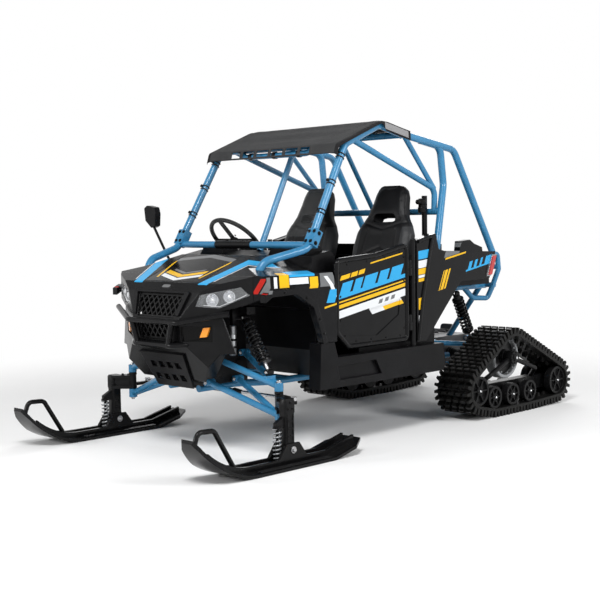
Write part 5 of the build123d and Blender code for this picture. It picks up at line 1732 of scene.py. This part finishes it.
def floor_paper():
    """Pale paper that takes the shadow near the machine and is plain white farther off."""
    graph = Graph("floor_paper")
    paper = graph.ramp(graph.noise(0.6), [(PATCH_LOW, PAPER_DARK), (PATCH_HIGH, PAPER_LIGHT)])
    graph.fill(graph.shader, {"Base Color": paper, "Roughness": 0.9, "Specular IOR Level": 0.1})
    rays = graph.add("LightPath").outputs
    seen = graph.math("MAXIMUM", rays["Is Camera Ray"], rays["Is Glossy Ray"])
    seen = graph.math("MAXIMUM", seen, rays["Is Transmission Ray"])
    reach = graph.add("VectorMath", {0: graph.coords}, operation="LENGTH").outputs["Value"]
    inputs = {"Value": reach, "From Min": SHADOW_REACH, "From Max": WHITE_REACH}
    away = graph.add("MapRange", inputs, interpolation_type="SMOOTHSTEP").outputs["Result"]
    glow = graph.add("Emission").outputs["Emission"]
    share = graph.math("MULTIPLY", seen, away)
    mixed = graph.add("MixShader", {0: share, 1: graph.shader.outputs["BSDF"], 2: glow})
    graph.join(mixed.outputs[0], graph.output.inputs["Surface"])
    return graph.material


def floor_bowl():
    mesh = bmesh.new()
    stations = [(0.4, 0.0), (4.0, 0.0), (FLOOR_FLAT, 0.0)]
    for step in range(1, FLOOR_STEPS + 1):
        turn = step / FLOOR_STEPS * math.pi / 2
        radius = FLOOR_FLAT + (FLOOR_RIM - FLOOR_FLAT) * math.sin(turn)
        stations.append((radius, FLOOR_RISE * (1 - math.cos(turn))))
    rings = []
    for radius, height in stations:
        centre = Vector((0, 0, height))
        rings.append(ring_of(mesh, centre, Vector(AHEAD), Vector(LEFT), radius, FLOOR_TURNS))
    mesh.faces.new(rings[0])
    for low, high in zip(rings, rings[1:]):
        for corner in range(FLOOR_TURNS):
            after = (corner + 1) % FLOOR_TURNS
            mesh.faces.new((low[corner], high[corner], high[after], low[after]))
    data = data_of("floor", mesh)
    dress(data, floor_paper())
    floor = object_of("floor", data)


floor_bowl()

WORLD_STRENGTH = 0.30
world = bpy.data.worlds.new("studio")
world.use_nodes = True
backdrop = world.node_tree.nodes["Background"]
backdrop.inputs["Color"].default_value = (1.0, 1.0, 1.0, 1.0)
backdrop.inputs["Strength"].default_value = WORLD_STRENGTH
scene.world = world

AIM = Vector((0.1, 0.0, 0.7))
LIGHTS = [
    # name, place, size, watts
    ("key", (4.5, 3.0, 6.0), 2.0, 350.0),
    ("side", (-1.5, 7.0, 4.0), 2.2, 260.0),
    ("front", (7.0, -3.0, 3.0), 1.8, 160.0),
    ("back", (-6.0, -4.0, 5.0), 4.0, 190.0),
]
for name, place, size, watts in LIGHTS:
    lamp = bpy.data.lights.new(name, "AREA")
    lamp.size = size
    lamp.energy = watts
    holder = object_of(name, lamp)
    holder.location = place
    holder.rotation_euler = (AIM - Vector(place)).to_track_quat("-Z", "Y").to_euler()

CAMERA_AZIMUTH = math.radians(44.57)
CAMERA_ELEVATION = math.radians(3.953)
CAMERA_ROLL = math.radians(-0.863)
CAMERA_DISTANCE = 7.1668
CAMERA_TARGET = Vector((0.04, -0.1127, 0.7563))
CAMERA_LENS = 69.71
SENSOR_WIDTH = 36.0


def photo_camera():
    level, rise = math.cos(CAMERA_ELEVATION), math.sin(CAMERA_ELEVATION)
    toward = Vector((level * math.cos(CAMERA_AZIMUTH), level * math.sin(CAMERA_AZIMUTH), rise))
    right = (-toward).cross(Vector(UP)).normalized()
    up = right.cross(-toward)
    turned_right = right * math.cos(CAMERA_ROLL) + up * math.sin(CAMERA_ROLL)
    turned_up = up * math.cos(CAMERA_ROLL) - right * math.sin(CAMERA_ROLL)
    lens = bpy.data.cameras.new("photo")
    lens.lens = CAMERA_LENS
    lens.sensor_width = SENSOR_WIDTH
    holder = object_of("photo", lens)
    turn = Matrix((turned_right, turned_up, toward)).transposed()
    holder.matrix_world = Matrix.Translation(CAMERA_TARGET + toward * CAMERA_DISTANCE) @ turn.to_4x4()
    scene.camera = holder


photo_camera()
scene.view_settings.view_transform = "Standard"
